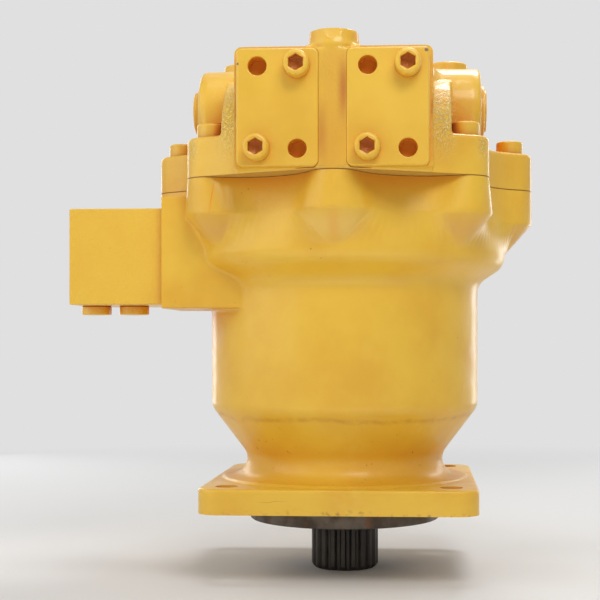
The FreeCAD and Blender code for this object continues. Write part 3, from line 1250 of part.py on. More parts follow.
def brake_valve_block():
    """Machined block with the brake release spool and the orifice bore."""
    body = block(-VALVE_BLOCK_OUTER_X, -PAD_X, PAD_FRONT_Y, VALVE_BLOCK_REAR_Y,
                 VALVE_BLOCK_BOTTOM_Z, VALVE_BLOCK_TOP_Z)
    body = body.makeChamfer(0.8, [e for e in body.Edges if e.BoundBox.XMax < -PAD_X - 1])
    cuts = []
    for x in (SPOOL_BORE_X, ORIFICE_BORE_X):
        cuts.append(cylinder(VALVE_BORE_R, VALVE_BLOCK_BOTTOM_Z - 1, VALVE_BORE_TOP_Z, -x, VALVE_BORE_Y))
    cuts.append(rod(BRAKE_PORT_R, Vector(-SPOOL_BORE_X, VALVE_BORE_Y, BRAKE_PORT_Z),
                    Vector(-PAD_X + 1, VALVE_BORE_Y, BRAKE_PORT_Z)))
    cuts.append(rod(BRAKE_PORT_R + BRAKE_SEAL_WIDTH + THREAD_GAP,
                    Vector(-PAD_X - BRAKE_SEAL_WIDTH, VALVE_BORE_Y, BRAKE_PORT_Z),
                    Vector(-PAD_X + 1, VALVE_BORE_Y, BRAKE_PORT_Z)))
    for y in block_screw_ys():
        for z in block_screw_zs():
            cuts.append(rod(BLOCK_SCREW_R + 0.4, Vector(-VALVE_BLOCK_OUTER_X - 1, y, z),
                            Vector(-PAD_X + 1, y, z)))
            cuts.append(rod(BLOCK_SCREW_HEAD_R + 0.5, Vector(-VALVE_BLOCK_OUTER_X - 1, y, z),
                            Vector(-VALVE_BLOCK_OUTER_X + 2 * BLOCK_SCREW_R + 1, y, z)))
    return without(body, cuts)


def brake_valve_bolts():
    """Four screws, sunk in the block's outer face, that hold it to the casing's pad."""
    screws = []
    seat_x = -VALVE_BLOCK_OUTER_X + 2 * BLOCK_SCREW_R + 1
    length = -PAD_X + BLOCK_SCREW_DEPTH - seat_x
    for y in block_screw_ys():
        for z in block_screw_zs():
            screws.append(cap_screw(BLOCK_SCREW_R, BLOCK_SCREW_HEAD_R, 2 * BLOCK_SCREW_R,
                                    Vector(seat_x, y, z), Vector(-1, 0, 0), length))
    return screws


def brake_valve_plugs():
    """Two round plugs under the valve block."""
    plugs = []
    for x in (SPOOL_BORE_X, ORIFICE_BORE_X):
        low = VALVE_BLOCK_BOTTOM_Z - VALVE_PLUG_HEAD_HEIGHT
        head = cylinder(VALVE_PLUG_HEAD_R, low, VALVE_BLOCK_BOTTOM_Z, -x, VALVE_BORE_Y)
        head = head.makeChamfer(0.8, top_edges_at(head, low))
        thread = cylinder(VALVE_BORE_R - THREAD_GAP, VALVE_BLOCK_BOTTOM_Z,
                          VALVE_BLOCK_BOTTOM_Z + VALVE_PLUG_THREAD_LENGTH, -x, VALVE_BORE_Y)
        socket = hex_prism(10.0, Vector(-x, VALVE_BORE_Y, low - 1), Vector(0, 0, 1), 6)
        plugs.append(joined([head, thread]).cut(socket))
    return plugs


def spool_low_z():
    """Lower end of the brake valve spool at rest, against the bore's upper end."""
    return VALVE_BORE_TOP_Z - SPOOL_LENGTH - 0.3


def brake_valve_spool():
    """Grooved spool that opens pilot pressure to the brake piston."""
    low = spool_low_z()
    land = SPOOL_LENGTH * 0.3
    x = -SPOOL_BORE_X
    parts = [
        cylinder(VALVE_BORE_R - RUN_GAP, low, low + land, x, VALVE_BORE_Y),
        cylinder(VALVE_BORE_R - 3, low, low + SPOOL_LENGTH, x, VALVE_BORE_Y),
        cylinder(VALVE_BORE_R - RUN_GAP, low + SPOOL_LENGTH - land, low + SPOOL_LENGTH, x, VALVE_BORE_Y),
    ]
    return joined(parts)


def brake_valve_spring():
    """Spring between the plug and the spool."""
    low = VALVE_BLOCK_BOTTOM_Z + VALVE_PLUG_THREAD_LENGTH
    sleeve = spring_sleeve(VALVE_BORE_R - 1.5, 1.5, low, spool_low_z())
    sleeve.translate(Vector(-SPOOL_BORE_X, VALVE_BORE_Y, 0))
    return sleeve


def brake_valve_seal():
    """Seal ring round the brake passage, between block and pad."""
    start = Vector(-PAD_X - BRAKE_SEAL_WIDTH, VALVE_BORE_Y, BRAKE_PORT_Z)
    end = Vector(-PAD_X, VALVE_BORE_Y, BRAKE_PORT_Z)
    outer = rod(BRAKE_PORT_R + BRAKE_SEAL_WIDTH, start, end)
    return outer.cut(rod(BRAKE_PORT_R, start, end))


def drain_plug():
    """Plug in the casing's drain port, on the rear right."""
    head = rod(DRAIN_PLUG_R, Vector(DRAIN_FACE_R, 0, DRAIN_PLUG_Z),
               Vector(DRAIN_FACE_R + 6, 0, DRAIN_PLUG_Z))
    thread = rod(DRAIN_THREAD_R, Vector(DRAIN_FACE_R - 14, 0, DRAIN_PLUG_Z),
                 Vector(DRAIN_FACE_R, 0, DRAIN_PLUG_Z))
    socket = hex_prism(10.0, Vector(DRAIN_FACE_R + 1, 0, DRAIN_PLUG_Z), Vector(1, 0, 0), 6)
    return turned(joined([head, thread]).cut(socket), DRAIN_ANGLE)


def export(name, shape):
    """Write one sub-part, a solid or a list of solids, to its own file."""
    if isinstance(shape, list):
        shape = Part.makeCompound(shape)
    shape.exportStep(os.path.join("parts", name + ".step"))


def sub_parts():
    """Every sub-part by name."""
    parts = {
        "casing": casing(),
        "rear_cover": rear_cover(),
        "cover_bolts": cover_bolts(),
        "cover_dowels": cover_dowels(),
        "cover_seal_ring": cover_seal_ring(),
        "left_port_plate": port_plate(-1),
        "right_port_plate": port_plate(1),
        "port_plate_bolts": port_plate_bolts(),
        "port_plate_seals": port_plate_seals(),
        "valve_plate": valve_plate(),
        "valve_plate_pin": valve_plate_pin(),
        "swash_plate": swash_plate(),
        "swash_plate_pins": swash_plate_pins(),
        "front_bearing_outer_ring": bearing_outer_ring(
            FRONT_OUTER_RACE_R, FRONT_BEARING_R, FRONT_BEARING_BOTTOM_Z, FRONT_BEARING_TOP_Z),
        "front_bearing_inner_ring": bearing_inner_ring(
            JOURNAL_R, FRONT_INNER_RACE_R, FRONT_BEARING_BOTTOM_Z, FRONT_BEARING_TOP_Z),
        "front_bearing_rollers": rollers_with_cage(
            FRONT_INNER_RACE_R, FRONT_ROLLER_R, FRONT_ROLLER_COUNT, FRONT_BEARING_BOTTOM_Z,
            FRONT_BEARING_TOP_Z),
        "rear_bearing_outer_ring": bearing_outer_ring(
            REAR_OUTER_RACE_R, REAR_BEARING_R, REAR_BEARING_BOTTOM_Z, REAR_BEARING_TOP_Z),
        "rear_bearing_inner_ring": bearing_inner_ring(
            REAR_JOURNAL_R, REAR_INNER_RACE_R, REAR_BEARING_BOTTOM_Z, REAR_BEARING_TOP_Z),
        "rear_bearing_rollers": rollers_with_cage(
            REAR_INNER_RACE_R, REAR_ROLLER_R, REAR_ROLLER_COUNT, REAR_BEARING_BOTTOM_Z,
            REAR_BEARING_TOP_Z),
        "shaft_seal": shaft_seal(),
        "seal_retaining_ring": seal_retaining_ring(),
        "drive_shaft": drive_shaft(),
        "shaft_snap_ring": shaft_snap_ring(),
        "cylinder_block": cylinder_block(),
        "block_spring": block_spring(),
        "spherical_bush": spherical_bush(),
        "pistons": pistons(),
        "piston_shoes": piston_shoes(),
        "retainer_plate": retainer_plate(),
        "friction_plates": friction_plates(),
        "separator_plates": separator_plates(),
        "brake_piston": brake_piston(),
        "brake_springs": brake_springs(),
        "brake_valve_block": brake_valve_block(),
        "brake_valve_bolts": brake_valve_bolts(),
        "brake_valve_plugs": brake_valve_plugs(),
        "brake_valve_spool": brake_valve_spool(),
        "brake_valve_spring": brake_valve_spring(),
        "brake_valve_seal": brake_valve_seal(),
        "drain_plug": drain_plug(),
    }
    for side, hand in ((-1, "left"), (1, "right")):
        parts[hand + "_relief_cartridge"] = relief_cartridge(side)
        parts[hand + "_relief_poppet"] = relief_poppet(side)
        parts[hand + "_relief_spring"] = relief_spring(side)
        parts[hand + "_makeup_plug"] = makeup_plug(side)
        parts[hand + "_makeup_poppet"] = makeup_poppet(side)
        parts[hand + "_makeup_spring"] = makeup_spring(side)
    return parts


os.makedirs("parts", exist_ok=True)
for part_name, part_shape in sub_parts().items():
    export(part_name, part_shape)
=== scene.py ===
import json
import math

import bmesh
import bpy
from mathutils import Matrix, Vector


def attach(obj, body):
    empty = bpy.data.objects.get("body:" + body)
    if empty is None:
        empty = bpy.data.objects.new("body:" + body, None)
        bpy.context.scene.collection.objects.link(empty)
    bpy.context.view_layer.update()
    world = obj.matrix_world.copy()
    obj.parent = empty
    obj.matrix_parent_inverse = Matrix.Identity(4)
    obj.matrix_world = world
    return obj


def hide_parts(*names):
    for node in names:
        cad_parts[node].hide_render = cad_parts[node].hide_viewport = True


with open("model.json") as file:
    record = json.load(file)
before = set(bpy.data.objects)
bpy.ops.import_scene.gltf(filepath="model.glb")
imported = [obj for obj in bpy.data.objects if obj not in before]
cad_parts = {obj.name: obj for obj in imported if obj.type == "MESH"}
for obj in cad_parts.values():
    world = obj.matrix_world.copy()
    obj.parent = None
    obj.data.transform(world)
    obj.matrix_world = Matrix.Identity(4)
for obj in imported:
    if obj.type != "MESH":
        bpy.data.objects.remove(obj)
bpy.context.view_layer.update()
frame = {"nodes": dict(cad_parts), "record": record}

MM = 0.001              # shapes below are drawn in millimetres
CORNERS = ((-1, -1), (1, -1), (1, 1), (-1, 1))
SIDES = {-1: "left_", 1: "right_"}

# Mounting flange, pilot and casing outside
FLANGE_SIDE = 208.0
FLANGE_THICKNESS = 19.0
FLANGE_CORNER_R = 16.0
FLANGE_HOLE_R = 8.75
FLANGE_HOLE_SPACING = 167.0
STEP_R = 97.5
STEP_Z = 21.0
PILOT_R = 76.0
PILOT_LENGTH = 14.0
SEAL_BORE_R = 42.5
SEAL_TOP_Z = 5.0
NECK_R = 78.5
NECK_FILLET_R = 13.0
CONE_ANGLE = 37.0
DRUM_R = 106.6
SHOULDER_Z = 173.0
SHOULDER_ANGLE = 57.0
SHOULDER_FILLET_R = 14.0
RING_R = 128.0
SEAM_Z = 246.5
SEAM_GROOVE = 0.3         # half of the line between casing and cover
SEAM_GROOVE_DEPTH = 0.6

# Hollow of the casing
BEARING_SEAT_R = 65.0
BEARING_FLOOR_Z = 12.0
SWASH_SEAT_R = 68.0
SWASH_SEAT_Z = 44.5
CAVITY_R = 86.0
BRAKE_BORE_R = 93.0
BRAKE_STOP_Z = 150.0
BRAKE_PISTON_BORE_R = 101.0
BRAKE_STEP_Z = 188.0

# Bolt bosses and the cover's joint plate
BOLT_COUNT = 8
BOLT_CIRCLE_R = 132.0
LUG_R = 17.5
STRAIGHT_SIDES = (247.5, 292.5)  # where the cover's plate carries the port block
BOSS_FLARE_R = 28.0
BOSS_FLARE_Z = 220.0
BOSS_FOOT_Z = 196.0
BOSS_FOOT_ANGLE = 2.0
VALLEY_FLARE_R = 125.0
VALLEY_SEAM_R = 119.5
PLATE_TOP_Z = 276.0
COVER_SCREW_R = 7.0
COVER_SCREW_HEAD_R = 10.5
COVER_SCREW_HEIGHT = 14.0
SPOTFACE_R = 13.0
SPOTFACE_Z = 272.5
SPOTFACE_TOP_Z = 290.0    # of the screws under the relief valve bosses
RELIEF_SCREWS = (5, 7)    # places on the bolt circle, counted from +X
FRONT_SCREW = 6           # in the front column
PAD_SCREW = 4             # shorter, above the valve block's pad
COVER_SCREW_DEPTH = 25.0  # in the casing
COVER_HOLE_DEPTH = 27.0
PAD_SCREW_DEPTH = 14.0
PAD_HOLE_DEPTH = 15.0
LONG_BOSS_R = 17.6
LONG_BOSS_TOP_Z = 344.0
LONG_BOSS_FLOOR_Z = 328.0

# Port block, port plates and their screws
PORT_HALF_WIDTH = 69.5
PORT_FACE_Y = -141.0
PORT_TOP_Z = 333.0
PORT_CORNER_R = 5.0
PORT_REAR_Y = -62.0
PORT_X = 38.3
PORT_Z = 290.0
PORT_BORE_R = 12.5
PORT_SCREW_DX = 27.8
PORT_SCREW_DZ = 57.2
PORT_SCREW_R = 6.0
PORT_SCREW_HEAD_R = 9.0
PORT_SCREW_HEIGHT = 12.0
PORT_SCREW_DEPTH = 24.0
OPEN_HOLE_DEPTH = 2.5
PORT_UNDERSIDE_Z = 248.4
PORT_PLATE_WIDTH = 57.2
PORT_PLATE_HEIGHT = 82.0
PORT_PLATE_Y = -151.0
PORT_PLATE_CORNER_R = 4.5
PORT_PLATE_Z = 289.0
PORT_PLATE_HOLE_R = 6.5
PORT_PLATE_EDGE_R = 1.5
COLUMN_HALF_WIDTH = 12.0  # metal between the plates, flush with their faces
COLUMN_FACE_Y = -149.7
DISH_R = 23.5             # shallow hollow in the front column's top
DISH_DEPTH = 3.2

# Cover body, relief and make-up valve bosses
BODY_HALF_WIDTH = 66.0
BODY_TOP_Z = 322.0
BODY_REAR_Y = 92.0
BODY_CORNER_R = 16.0
RELIEF_Y = -50.0
RELIEF_Z = 303.0
RELIEF_BOSS_R = 32.0
RELIEF_BOSS_X = 106.0
RELIEF_EDGE_R = 3.4
RELIEF_TAPER = 0.8
RELIEF_HEAD_R = 19.0
RELIEF_HEAD_STEP = 3.0
RELIEF_HEAD_SHOWN = {-1: 6.0, 1: 4.6}  # the right one is screwed in a little deeper
RELIEF_THREAD_R = 14.0
RELIEF_BORES = ((RELIEF_THREAD_R, 76.0), (7.5, 58.0), (4.0, 30.0))  # radius and inner end
COVE_R = 12.0
WEB_OUTER_X = 83.0
WEB_SLOPE = ((0, SEAM_Z), (0, 270), (2, 282), (6, 292), (13, 302), (22, 311))  # set back, and height
WEB_TOP_Z = 321.0
MAKEUP_X = 83.0
MAKEUP_Y = 8.0
MAKEUP_BOSS_R = 24.0
MAKEUP_BOSS_TOP_Z = 336.0
MAKEUP_PLUG_R = 16.0
MAKEUP_PLUG_HEIGHT = 15.0
MAKEUP_BORES = ((12.05, 318.0), (10.5, 292.0), (6.5, 280.0))  # radius and lower end

# Valve block and its pad
PAD_X = 133.5
PAD_FRONT_Y = -72.0
PAD_STEP = 7.5            # the casing's pad stands in front of the block
PAD_REAR_Y = 6.0
PAD_BOTTOM_Z = 152.0
PAD_TOP_Z = 236.0
BLOCK_OUTER_X = 206.0
BLOCK_REAR_Y = 4.0
BLOCK_BOTTOM_Z = 155.0
BLOCK_TOP_Z = 228.0
BLOCK_SCREW_INSET = 11.0
BLOCK_SCREW_HEAD_R = 6.5
BLOCK_SCREW_SEAT_X = 197.0
VALVE_PLUG_Y = -35.0
VALVE_PLUG_XS = (-194.0, -164.0)
VALVE_PLUG_R = 11.5
VALVE_PLUG_THREAD_R = 9.0
VALVE_PLUG_HEIGHT = 7.0
DRAIN_ANGLE = 112.5
DRAIN_FACE_R = 133.0
DRAIN_PLUG_Z = 228.0
DRAIN_PLUG_R = 13.0
DRAIN_PLUG_HEIGHT = 6.0
DRAIN_BOSS_R = 18.0

# Output spline
SPLINE_TEETH = 20
SPLINE_MAJOR_R = 26.67
SPLINE_MINOR_R = 23.7
SPLINE_END_Z = -54.0
SPLINE_START_Z = -17.0
JOURNAL_R = 30.0

# Cast skins
CAST_VOXEL = 1.15
CAST_SMOOTH_STEPS = 5
STOCK = 5.0             # metal left for machining
FAR = 300.0             # reach of the planes that machine a casting
SHARP_ANGLE = 35.0      # edges that turn more stay sharp

# Paint, dirt, painted light and shade, and backdrop colours, linear
YELLOW = (0.77, 0.465, 0.034)
DEEP_YELLOW = (0.69, 0.355, 0.017)
PALE_YELLOW = (0.80, 0.52, 0.065)
SHADE_ORANGE = (0.76, 0.235, 0.008)
SOCKET_SHADE_BROWN = (0.48, 0.115, 0.008)
GRIME_AND_SHADE = (0.20, 0.105, 0.04)
RUST = (0.17, 0.07, 0.025)
EDGE_DIRT = (0.36, 0.10, 0.01)
SCRATCH_BROWN = (0.34, 0.15, 0.02)
FACET_LIT_PALE = (0.80, 0.53, 0.12)
FACET_SHADED_BROWN = (0.68, 0.37, 0.07)
COLUMN_SHADE = (0.62, 0.29, 0.02)
GAP_SHADE_BROWN = (0.48, 0.16, 0.01)
HOLE_LIGHT_ORANGE = (0.84, 0.36, 0.03)
LEFT_STRIP_LIGHT = (0.95, 0.62, 0.07)
RIDGE_GLINT = (1.0, 0.84, 0.36)
BACKDROP = (0.745, 0.745, 0.745)
FLOOR_LIT = (0.9, 0.9, 0.9)       # to the light on the object
FLOOR_SEEN = (0.73, 0.73, 0.73)   # to the camera and in reflections

# Light: the world's level, and each lamp's place, target, width, height and watts
WORLD_LEVEL = 0.31
LAMPS = {
    "key": ((310, -910, 960), (0, -60, 200), 560, 420, 5.5),
    "fill": ((-1000, -560, 560), (0, 0, 200), 1200, 1000, 4.4),
    "table": ((0, -440, SPLINE_END_Z + 6), (0, -440, 200), 1100, 260, 0.58),
    "top": ((-40, -300, 1150), (0, -40, 250), 320, 240, 2.1),
    "glare": ((270, 440, 1120), (60, -40, 320), 420, 260, 4.8),
    "rim_right": ((640, 880, 360), (0, 0, 160), 260, 800, 2.2),
    "rim_left": ((-640, 880, 360), (0, 0, 160), 260, 800, 2.2),
}

# Camera at the photograph's place: level with the neck, a little to the right of the axis
CAMERA_DISTANCE = 1026.0
CAMERA_AZIMUTH = 3.3
CAMERA_HEIGHT = 125.9
CAMERA_LENS = 76.2
PICTURE_SIZE = 600
PICTURE_SHIFT = (-44.9, 43.0)     # the photograph's middle: left of the axis, above the horizon


def polar(radius, degrees, z=0.0):
    """Point at a radius and angle about the shaft axis."""
    a = math.radians(degrees)
    return Vector((radius * math.cos(a), radius * math.sin(a), z))


def bolt_place(k, z):
    """Point on the bolt circle at one of the cover screws."""
    return polar(BOLT_CIRCLE_R, 360 / BOLT_COUNT * k, z)


def port_holes(side):
    """(x, z, screwed) of a port's four holes: the upper right and lower left ones have screws."""
    for right in (-1, 1):
        for up in (-1, 1):
            yield (side * PORT_X + right * PORT_SCREW_DX / 2, PORT_PLATE_Z + up * PORT_SCREW_DZ / 2,
                   right == up)


def round_edge(radius, top, steps=4):
    """(inset, height) pairs of a rounded upper edge, from its side to its top."""
    angles = [0.5 * math.pi * n / steps for n in range(steps + 1)]
    return [(radius * (1 - math.cos(a)), top - radius * (1 - math.sin(a))) for a in angles]


def linked(name, data):
    """New object in the scene."""
    obj = bpy.data.objects.new(name, data)
    bpy.context.scene.collection.objects.link(obj)
    return obj


def new_object(name, vertices, faces):
    """Mesh object from points in millimetres, its faces turned outward."""
    mesh = bpy.data.meshes.new(name)
    mesh.from_pydata([tuple(c * MM for c in v) for v in vertices], [], faces)
    bm = bmesh.new()
    bm.from_mesh(mesh)
    bmesh.ops.recalc_face_normals(bm, faces=bm.faces)
    bm.to_mesh(mesh)
    bm.free()
    return linked(name, mesh)


def rounded(points, steps=8, closed=True):
    """Outline through (u, v, radius) corners, with an arc at each corner that has a radius."""
    outline = []
    count = len(points)
    for k in range(count):
        corner = Vector(points[k][:2])
        radius = points[k][2]
        if not radius or (not closed and k in (0, count - 1)):
            outline.append(corner)
            continue
        back = (Vector(points[k - 1][:2]) - corner).normalized()
        ahead = (Vector(points[(k + 1) % count][:2]) - corner).normalized()
        half = 0.5 * back.angle(ahead)
        centre = corner + (back + ahead).normalized() * (radius / math.sin(half))
        start = corner + back * (radius / math.tan(half)) - centre
        turn = math.pi - 2 * half
        if start.x * (corner - centre).y - start.y * (corner - centre).x < 0:
            turn = -turn
        for n in range(steps + 1):
            a = turn * n / steps
            outline.append(centre + Vector((start.x * math.cos(a) - start.y * math.sin(a),
                                            start.x * math.sin(a) + start.y * math.cos(a))))
    return outline


def loft(name, rings, ring_shaped=False):
    """Solid through rings of equally many points, with flat ends or closed on itself."""
    count = len(rings[0])
    vertices = [p for ring in rings for p in ring]
    faces = []
    spans = len(rings) if ring_shaped else len(rings) - 1
    for r in range(spans):
        upper = (r + 1) % len(rings)
        for k in range(count):
            following = (k + 1) % count
            faces.append((r * count + k, r * count + following, upper * count + following,
                          upper * count + k))
    if not ring_shaped:
        faces.append(tuple(reversed(range(count))))
        faces.append(tuple(range((len(rings) - 1) * count, len(rings) * count)))
    return new_object(name, vertices, faces)


def circle(radius, height, segments):
    """Ring of points about Z."""
    step = 2 * math.pi / segments
    return [(radius * math.cos(step * k), radius * math.sin(step * k), height) for k in range(segments)]


def lathe(name, profile, segments=96, ring_shaped=False):
    """Solid of revolution about Z from (radius, height) points."""
    return loft(name, [circle(max(r, 0.01), h, segments) for r, h in profile], ring_shaped)


def placed(obj, origin, direction=(0, 0, 1)):
    """Turn a shape built along Z to a direction and move it to an origin in millimetres."""
    turn = Vector(direction).to_track_quat("Z", "Y").to_matrix().to_4x4()
    obj.data.transform(Matrix.Translation(Vector(origin) * MM) @ turn)
    return obj


def drill(radius, start, end, segments=48):
    """Round tool between two points."""
    span = Vector(end) - Vector(start)
    return placed(lathe("tool", [(radius, 0), (radius, span.length)], segments), start, span)


def prism(name, outline, low, high, axis="Z"):
    """Prism of an outline between two levels along Z or Y."""
    if axis == "Z":
        return loft(name, [[(p[0], p[1], level) for p in outline] for level in (low, high)])
    return loft(name, [[(p[0], level, p[1]) for p in outline] for level in (low, high)])


def box(name, low, high):
    """Box between two corners."""
    corners = [(low[0], low[1]), (high[0], low[1]), (high[0], high[1]), (low[0], high[1])]
    return prism(name, corners, low[2], high[2])


def rectangle(width, height, radius, centre=(0.0, 0.0)):
    """Corners of a rounded rectangle."""
    return [(centre[0] + u * width / 2, centre[1] + v * height / 2, radius) for u, v in CORNERS]


def upright(half_width, low, top, radius):
    """Outline of a block with rounded upper corners."""
    return rounded([(u * half_width, top if v > 0 else low, radius if v > 0 else 0) for u, v in CORNERS])


def merged(name, objects):
    """One object from several, their meshes laid together."""
    bm = bmesh.new()
    for obj in objects:
        bm.from_mesh(obj.data)
        bpy.data.objects.remove(obj)
    mesh = bpy.data.meshes.new(name)
    bm.to_mesh(mesh)
    bm.free()
    return linked(name, mesh)


def applied(obj):
    """The object with its modifiers turned into its mesh."""
    graph = bpy.context.evaluated_depsgraph_get()
    mesh = bpy.data.meshes.new_from_object(obj.evaluated_get(graph))
    obj.modifiers.clear()
    obj.data = mesh
    return obj


def cast_skin(name, stock):
    """One soft-edged casting from overlapping solids."""
    skin = merged(name, stock)
    remesh = skin.modifiers.new("skin", "REMESH")
    remesh.mode = "VOXEL"
    remesh.voxel_size = CAST_VOXEL * MM
    remesh.adaptivity = 0.0
    smooth = skin.modifiers.new("fillets", "SMOOTH")
    smooth.factor = 0.5
    smooth.iterations = CAST_SMOOTH_STEPS
    return applied(skin)


def cut(obj, tools):
    """Machine a shape with separate tools, one at a time."""
    for tool in tools:
        boolean = obj.modifiers.new("cut", "BOOLEAN")
        boolean.operation = "DIFFERENCE"
        boolean.solver = "MANIFOLD"
        boolean.object = tool
        applied(obj)
        bpy.data.objects.remove(tool)
    return obj


def finished(obj, material, nodes, body="housing"):
    """Give a piece its material and put it in the place of CAD nodes."""
    obj.data.materials.clear()
    obj.data.materials.append(material)
    for polygon in obj.data.polygons:
        polygon.use_smooth = True
    obj.data.set_sharp_from_angle(angle=math.radians(SHARP_ANGLE))
    level = obj.modifiers.new("flat_faces", "WEIGHTED_NORMAL")
    level.keep_sharp = True
    applied(obj)
    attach(obj, body)
    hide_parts(*nodes)
    return obj


class Nodes:
    """Short calls that build one material's nodes."""

    def __init__(self, name):
        self.material = bpy.data.materials.new(name)
        self.material.use_nodes = True
        self.tree = self.material.node_tree
        self.shader = self.tree.nodes["Principled BSDF"]
        coordinates = self.node("ShaderNodeTexCoord")
        self.place = coordinates.outputs["Object"]
        self.x, self.y, self.z = self.node("ShaderNodeSeparateXYZ", {0: self.place}).outputs
        self.facing = self.node("ShaderNodeSeparateXYZ", {0: coordinates.outputs["Normal"]}).outputs[2]

    def node(self, kind, inputs=None, **settings):
        """A node with its inputs set or linked."""
        made = self.tree.nodes.new(kind)
        for key, value in settings.items():
            setattr(made, key, value)
        for key, value in (inputs or {}).items():
            self.feed(made.inputs[key], value)
        return made

    def feed(self, socket, value):
        """Link a value to a socket or set it there, a colour with its alpha."""
        if isinstance(value, bpy.types.NodeSocket):
            self.tree.links.new(value, socket)
        else:
            socket.default_value = (*value, 1.0) if isinstance(value, tuple) else value

    def noise(self, scale, detail=3.0, roughness=0.55, place=None):
        """Noise between 0 and 1, in turns per metre."""
        made = self.node("ShaderNodeTexNoise", {"Vector": place or self.place, "Scale": scale,
                                                "Detail": detail, "Roughness": roughness})
        return made.outputs["Fac"]

    def fade(self, value, low, high, first=0.0, last=1.0):
        """Smooth step from one level to another."""
        made = self.node("ShaderNodeMapRange", {"Value": value, "From Min": low, "From Max": high,
                                                "To Min": first, "To Max": last},
                         interpolation_type="SMOOTHSTEP")
        return made.outputs["Result"]

    def math(self, operation, a, b=0.0, c=0.0):
        """One sum."""
        return self.node("ShaderNodeMath", {0: a, 1: b, 2: c}, operation=operation).outputs[0]

    def mix(self, share, a, b):
        """Colour between two."""
        return self.node("ShaderNodeMix", {0: share, 6: a, 7: b}, data_type="RGBA").outputs[2]

    def band(self, value, middle, half):
        """1 at a level in millimetres, fading to 0 on both sides."""
        away = self.math("ABSOLUTE", self.math("SUBTRACT", value, middle * MM))
        return self.fade(away, half * MM, 0.0)

    def patch(self, across, middle_x, half_x, middle_z, half_z):
        """1 in the middle of a soft oblong on the front or side, in millimetres."""
        return self.times(self.band(across, middle_x, half_x), self.band(self.z, middle_z, half_z))

    def spot(self, centre, radius):
        """1 round a point in millimetres, with a ragged edge."""
        away = self.node("ShaderNodeVectorMath", {0: self.place, 1: Vector(centre) * MM},
                         operation="DISTANCE").outputs["Value"]
        ragged = self.math("MULTIPLY_ADD", self.noise(900, 2), radius * MM, -0.5 * radius * MM)
        return self.fade(self.math("ADD", away, ragged), radius * MM, radius * MM * 0.6)

    def times(self, *values):
        """Product of several masks."""
        result = values[0]
        for value in values[1:]:
            result = self.math("MULTIPLY", result, value)
        return result

    def bump(self, height, distance, strength=1.0):
        """Bumped normal from a height, in millimetres."""
        return self.node("ShaderNodeBump", {"Height": height, "Distance": distance * MM,
                                            "Strength": strength}).outputs["Normal"]

    def occlusion(self, reach):
        """1 in the open, falling to 0 in corners within a reach in millimetres."""
        return self.node("ShaderNodeAmbientOcclusion", {"Distance": reach * MM}, samples=6).outputs["AO"]

    def put(self, **values):
        """Values or links on the shader's own sockets, by name."""
        for key, value in values.items():
            self.feed(self.shader.inputs[key.replace("_", " ")], value)


def paint_colour(n, grime, speckle, patches=0.75):
    """Yellow paint with patches, painted shade in pockets, grime and painted shade in corners, and specks of
    dirt.
    """
    tone = n.mix(n.fade(n.noise(16, 4), 0.35, 0.72, 0.0, patches), YELLOW, DEEP_YELLOW)
    faded = n.times(n.fade(n.noise(38, 5), 0.5, 0.75), n.fade(n.noise(7, 2), 0.4, 0.6, 0.0, 0.6 * patches))
    tone = n.mix(faded, tone, PALE_YELLOW)
    # painted shade: occluded pockets turn deep orange, less so low down
    n.pocket = n.times(n.fade(n.occlusion(38), 0.78, 0.3), n.fade(n.z, 0.03, 0.1, 0.6, 1.0))
    tone = n.mix(n.times(n.pocket, 0.85), tone, SHADE_ORANGE)
    # grime and painted shade: tight corners darken by their occlusion, patchy with noise
    corner = n.times(n.fade(n.occlusion(2.2), 0.62, 0.3),
                     n.fade(n.noise(90, 4), 0.3, 0.6, 0.3 * grime, grime))
    tone = n.mix(corner, tone, GRIME_AND_SHADE)
    specks = n.times(n.fade(n.noise(330, 2), 0.72, 0.75), n.fade(n.noise(22, 3), 0.53, 0.66))
    return n.mix(n.times(specks, speckle), tone, RUST)


def cast_paint(name, texture, gloss, rough_mask=None):
    """Satin paint over a sand casting, with painted glints on the rough ridges where a mask is given."""
    n = Nodes(name)
    tone = paint_colour(n, 0.6, 0.7)
    height = n.times(n.math("MULTIPLY_ADD", n.noise(520, 3), 0.35, n.noise(210, 4, 0.6)), texture)
    if rough_mask:
        worms = n.math("ABSOLUTE", n.math("SUBTRACT", n.noise(330, 2.5), 0.5))
        rugged = rough_mask(n)
        ridge = n.times(n.fade(worms, 0.075, 0.0), rugged)
        height = n.math("MULTIPLY_ADD", ridge, 0.6, height)
        # painted glints, partly worn paint: the ridges of the rough strips are paler
        tone = n.mix(n.times(ridge, 0.75), tone, RIDGE_GLINT)
    normal = n.bump(height, 1.5)
    shine = n.fade(n.pocket, 0.0, 0.8, gloss, 0.0)
    rough = n.math("MULTIPLY_ADD", n.pocket, 0.4, n.fade(n.noise(60, 4), 0.3, 0.7, 0.36, 0.5))
    n.put(Base_Color=tone, Roughness=rough, Normal=normal, Coat_Weight=shine, Coat_Roughness=0.12)
    return n, tone


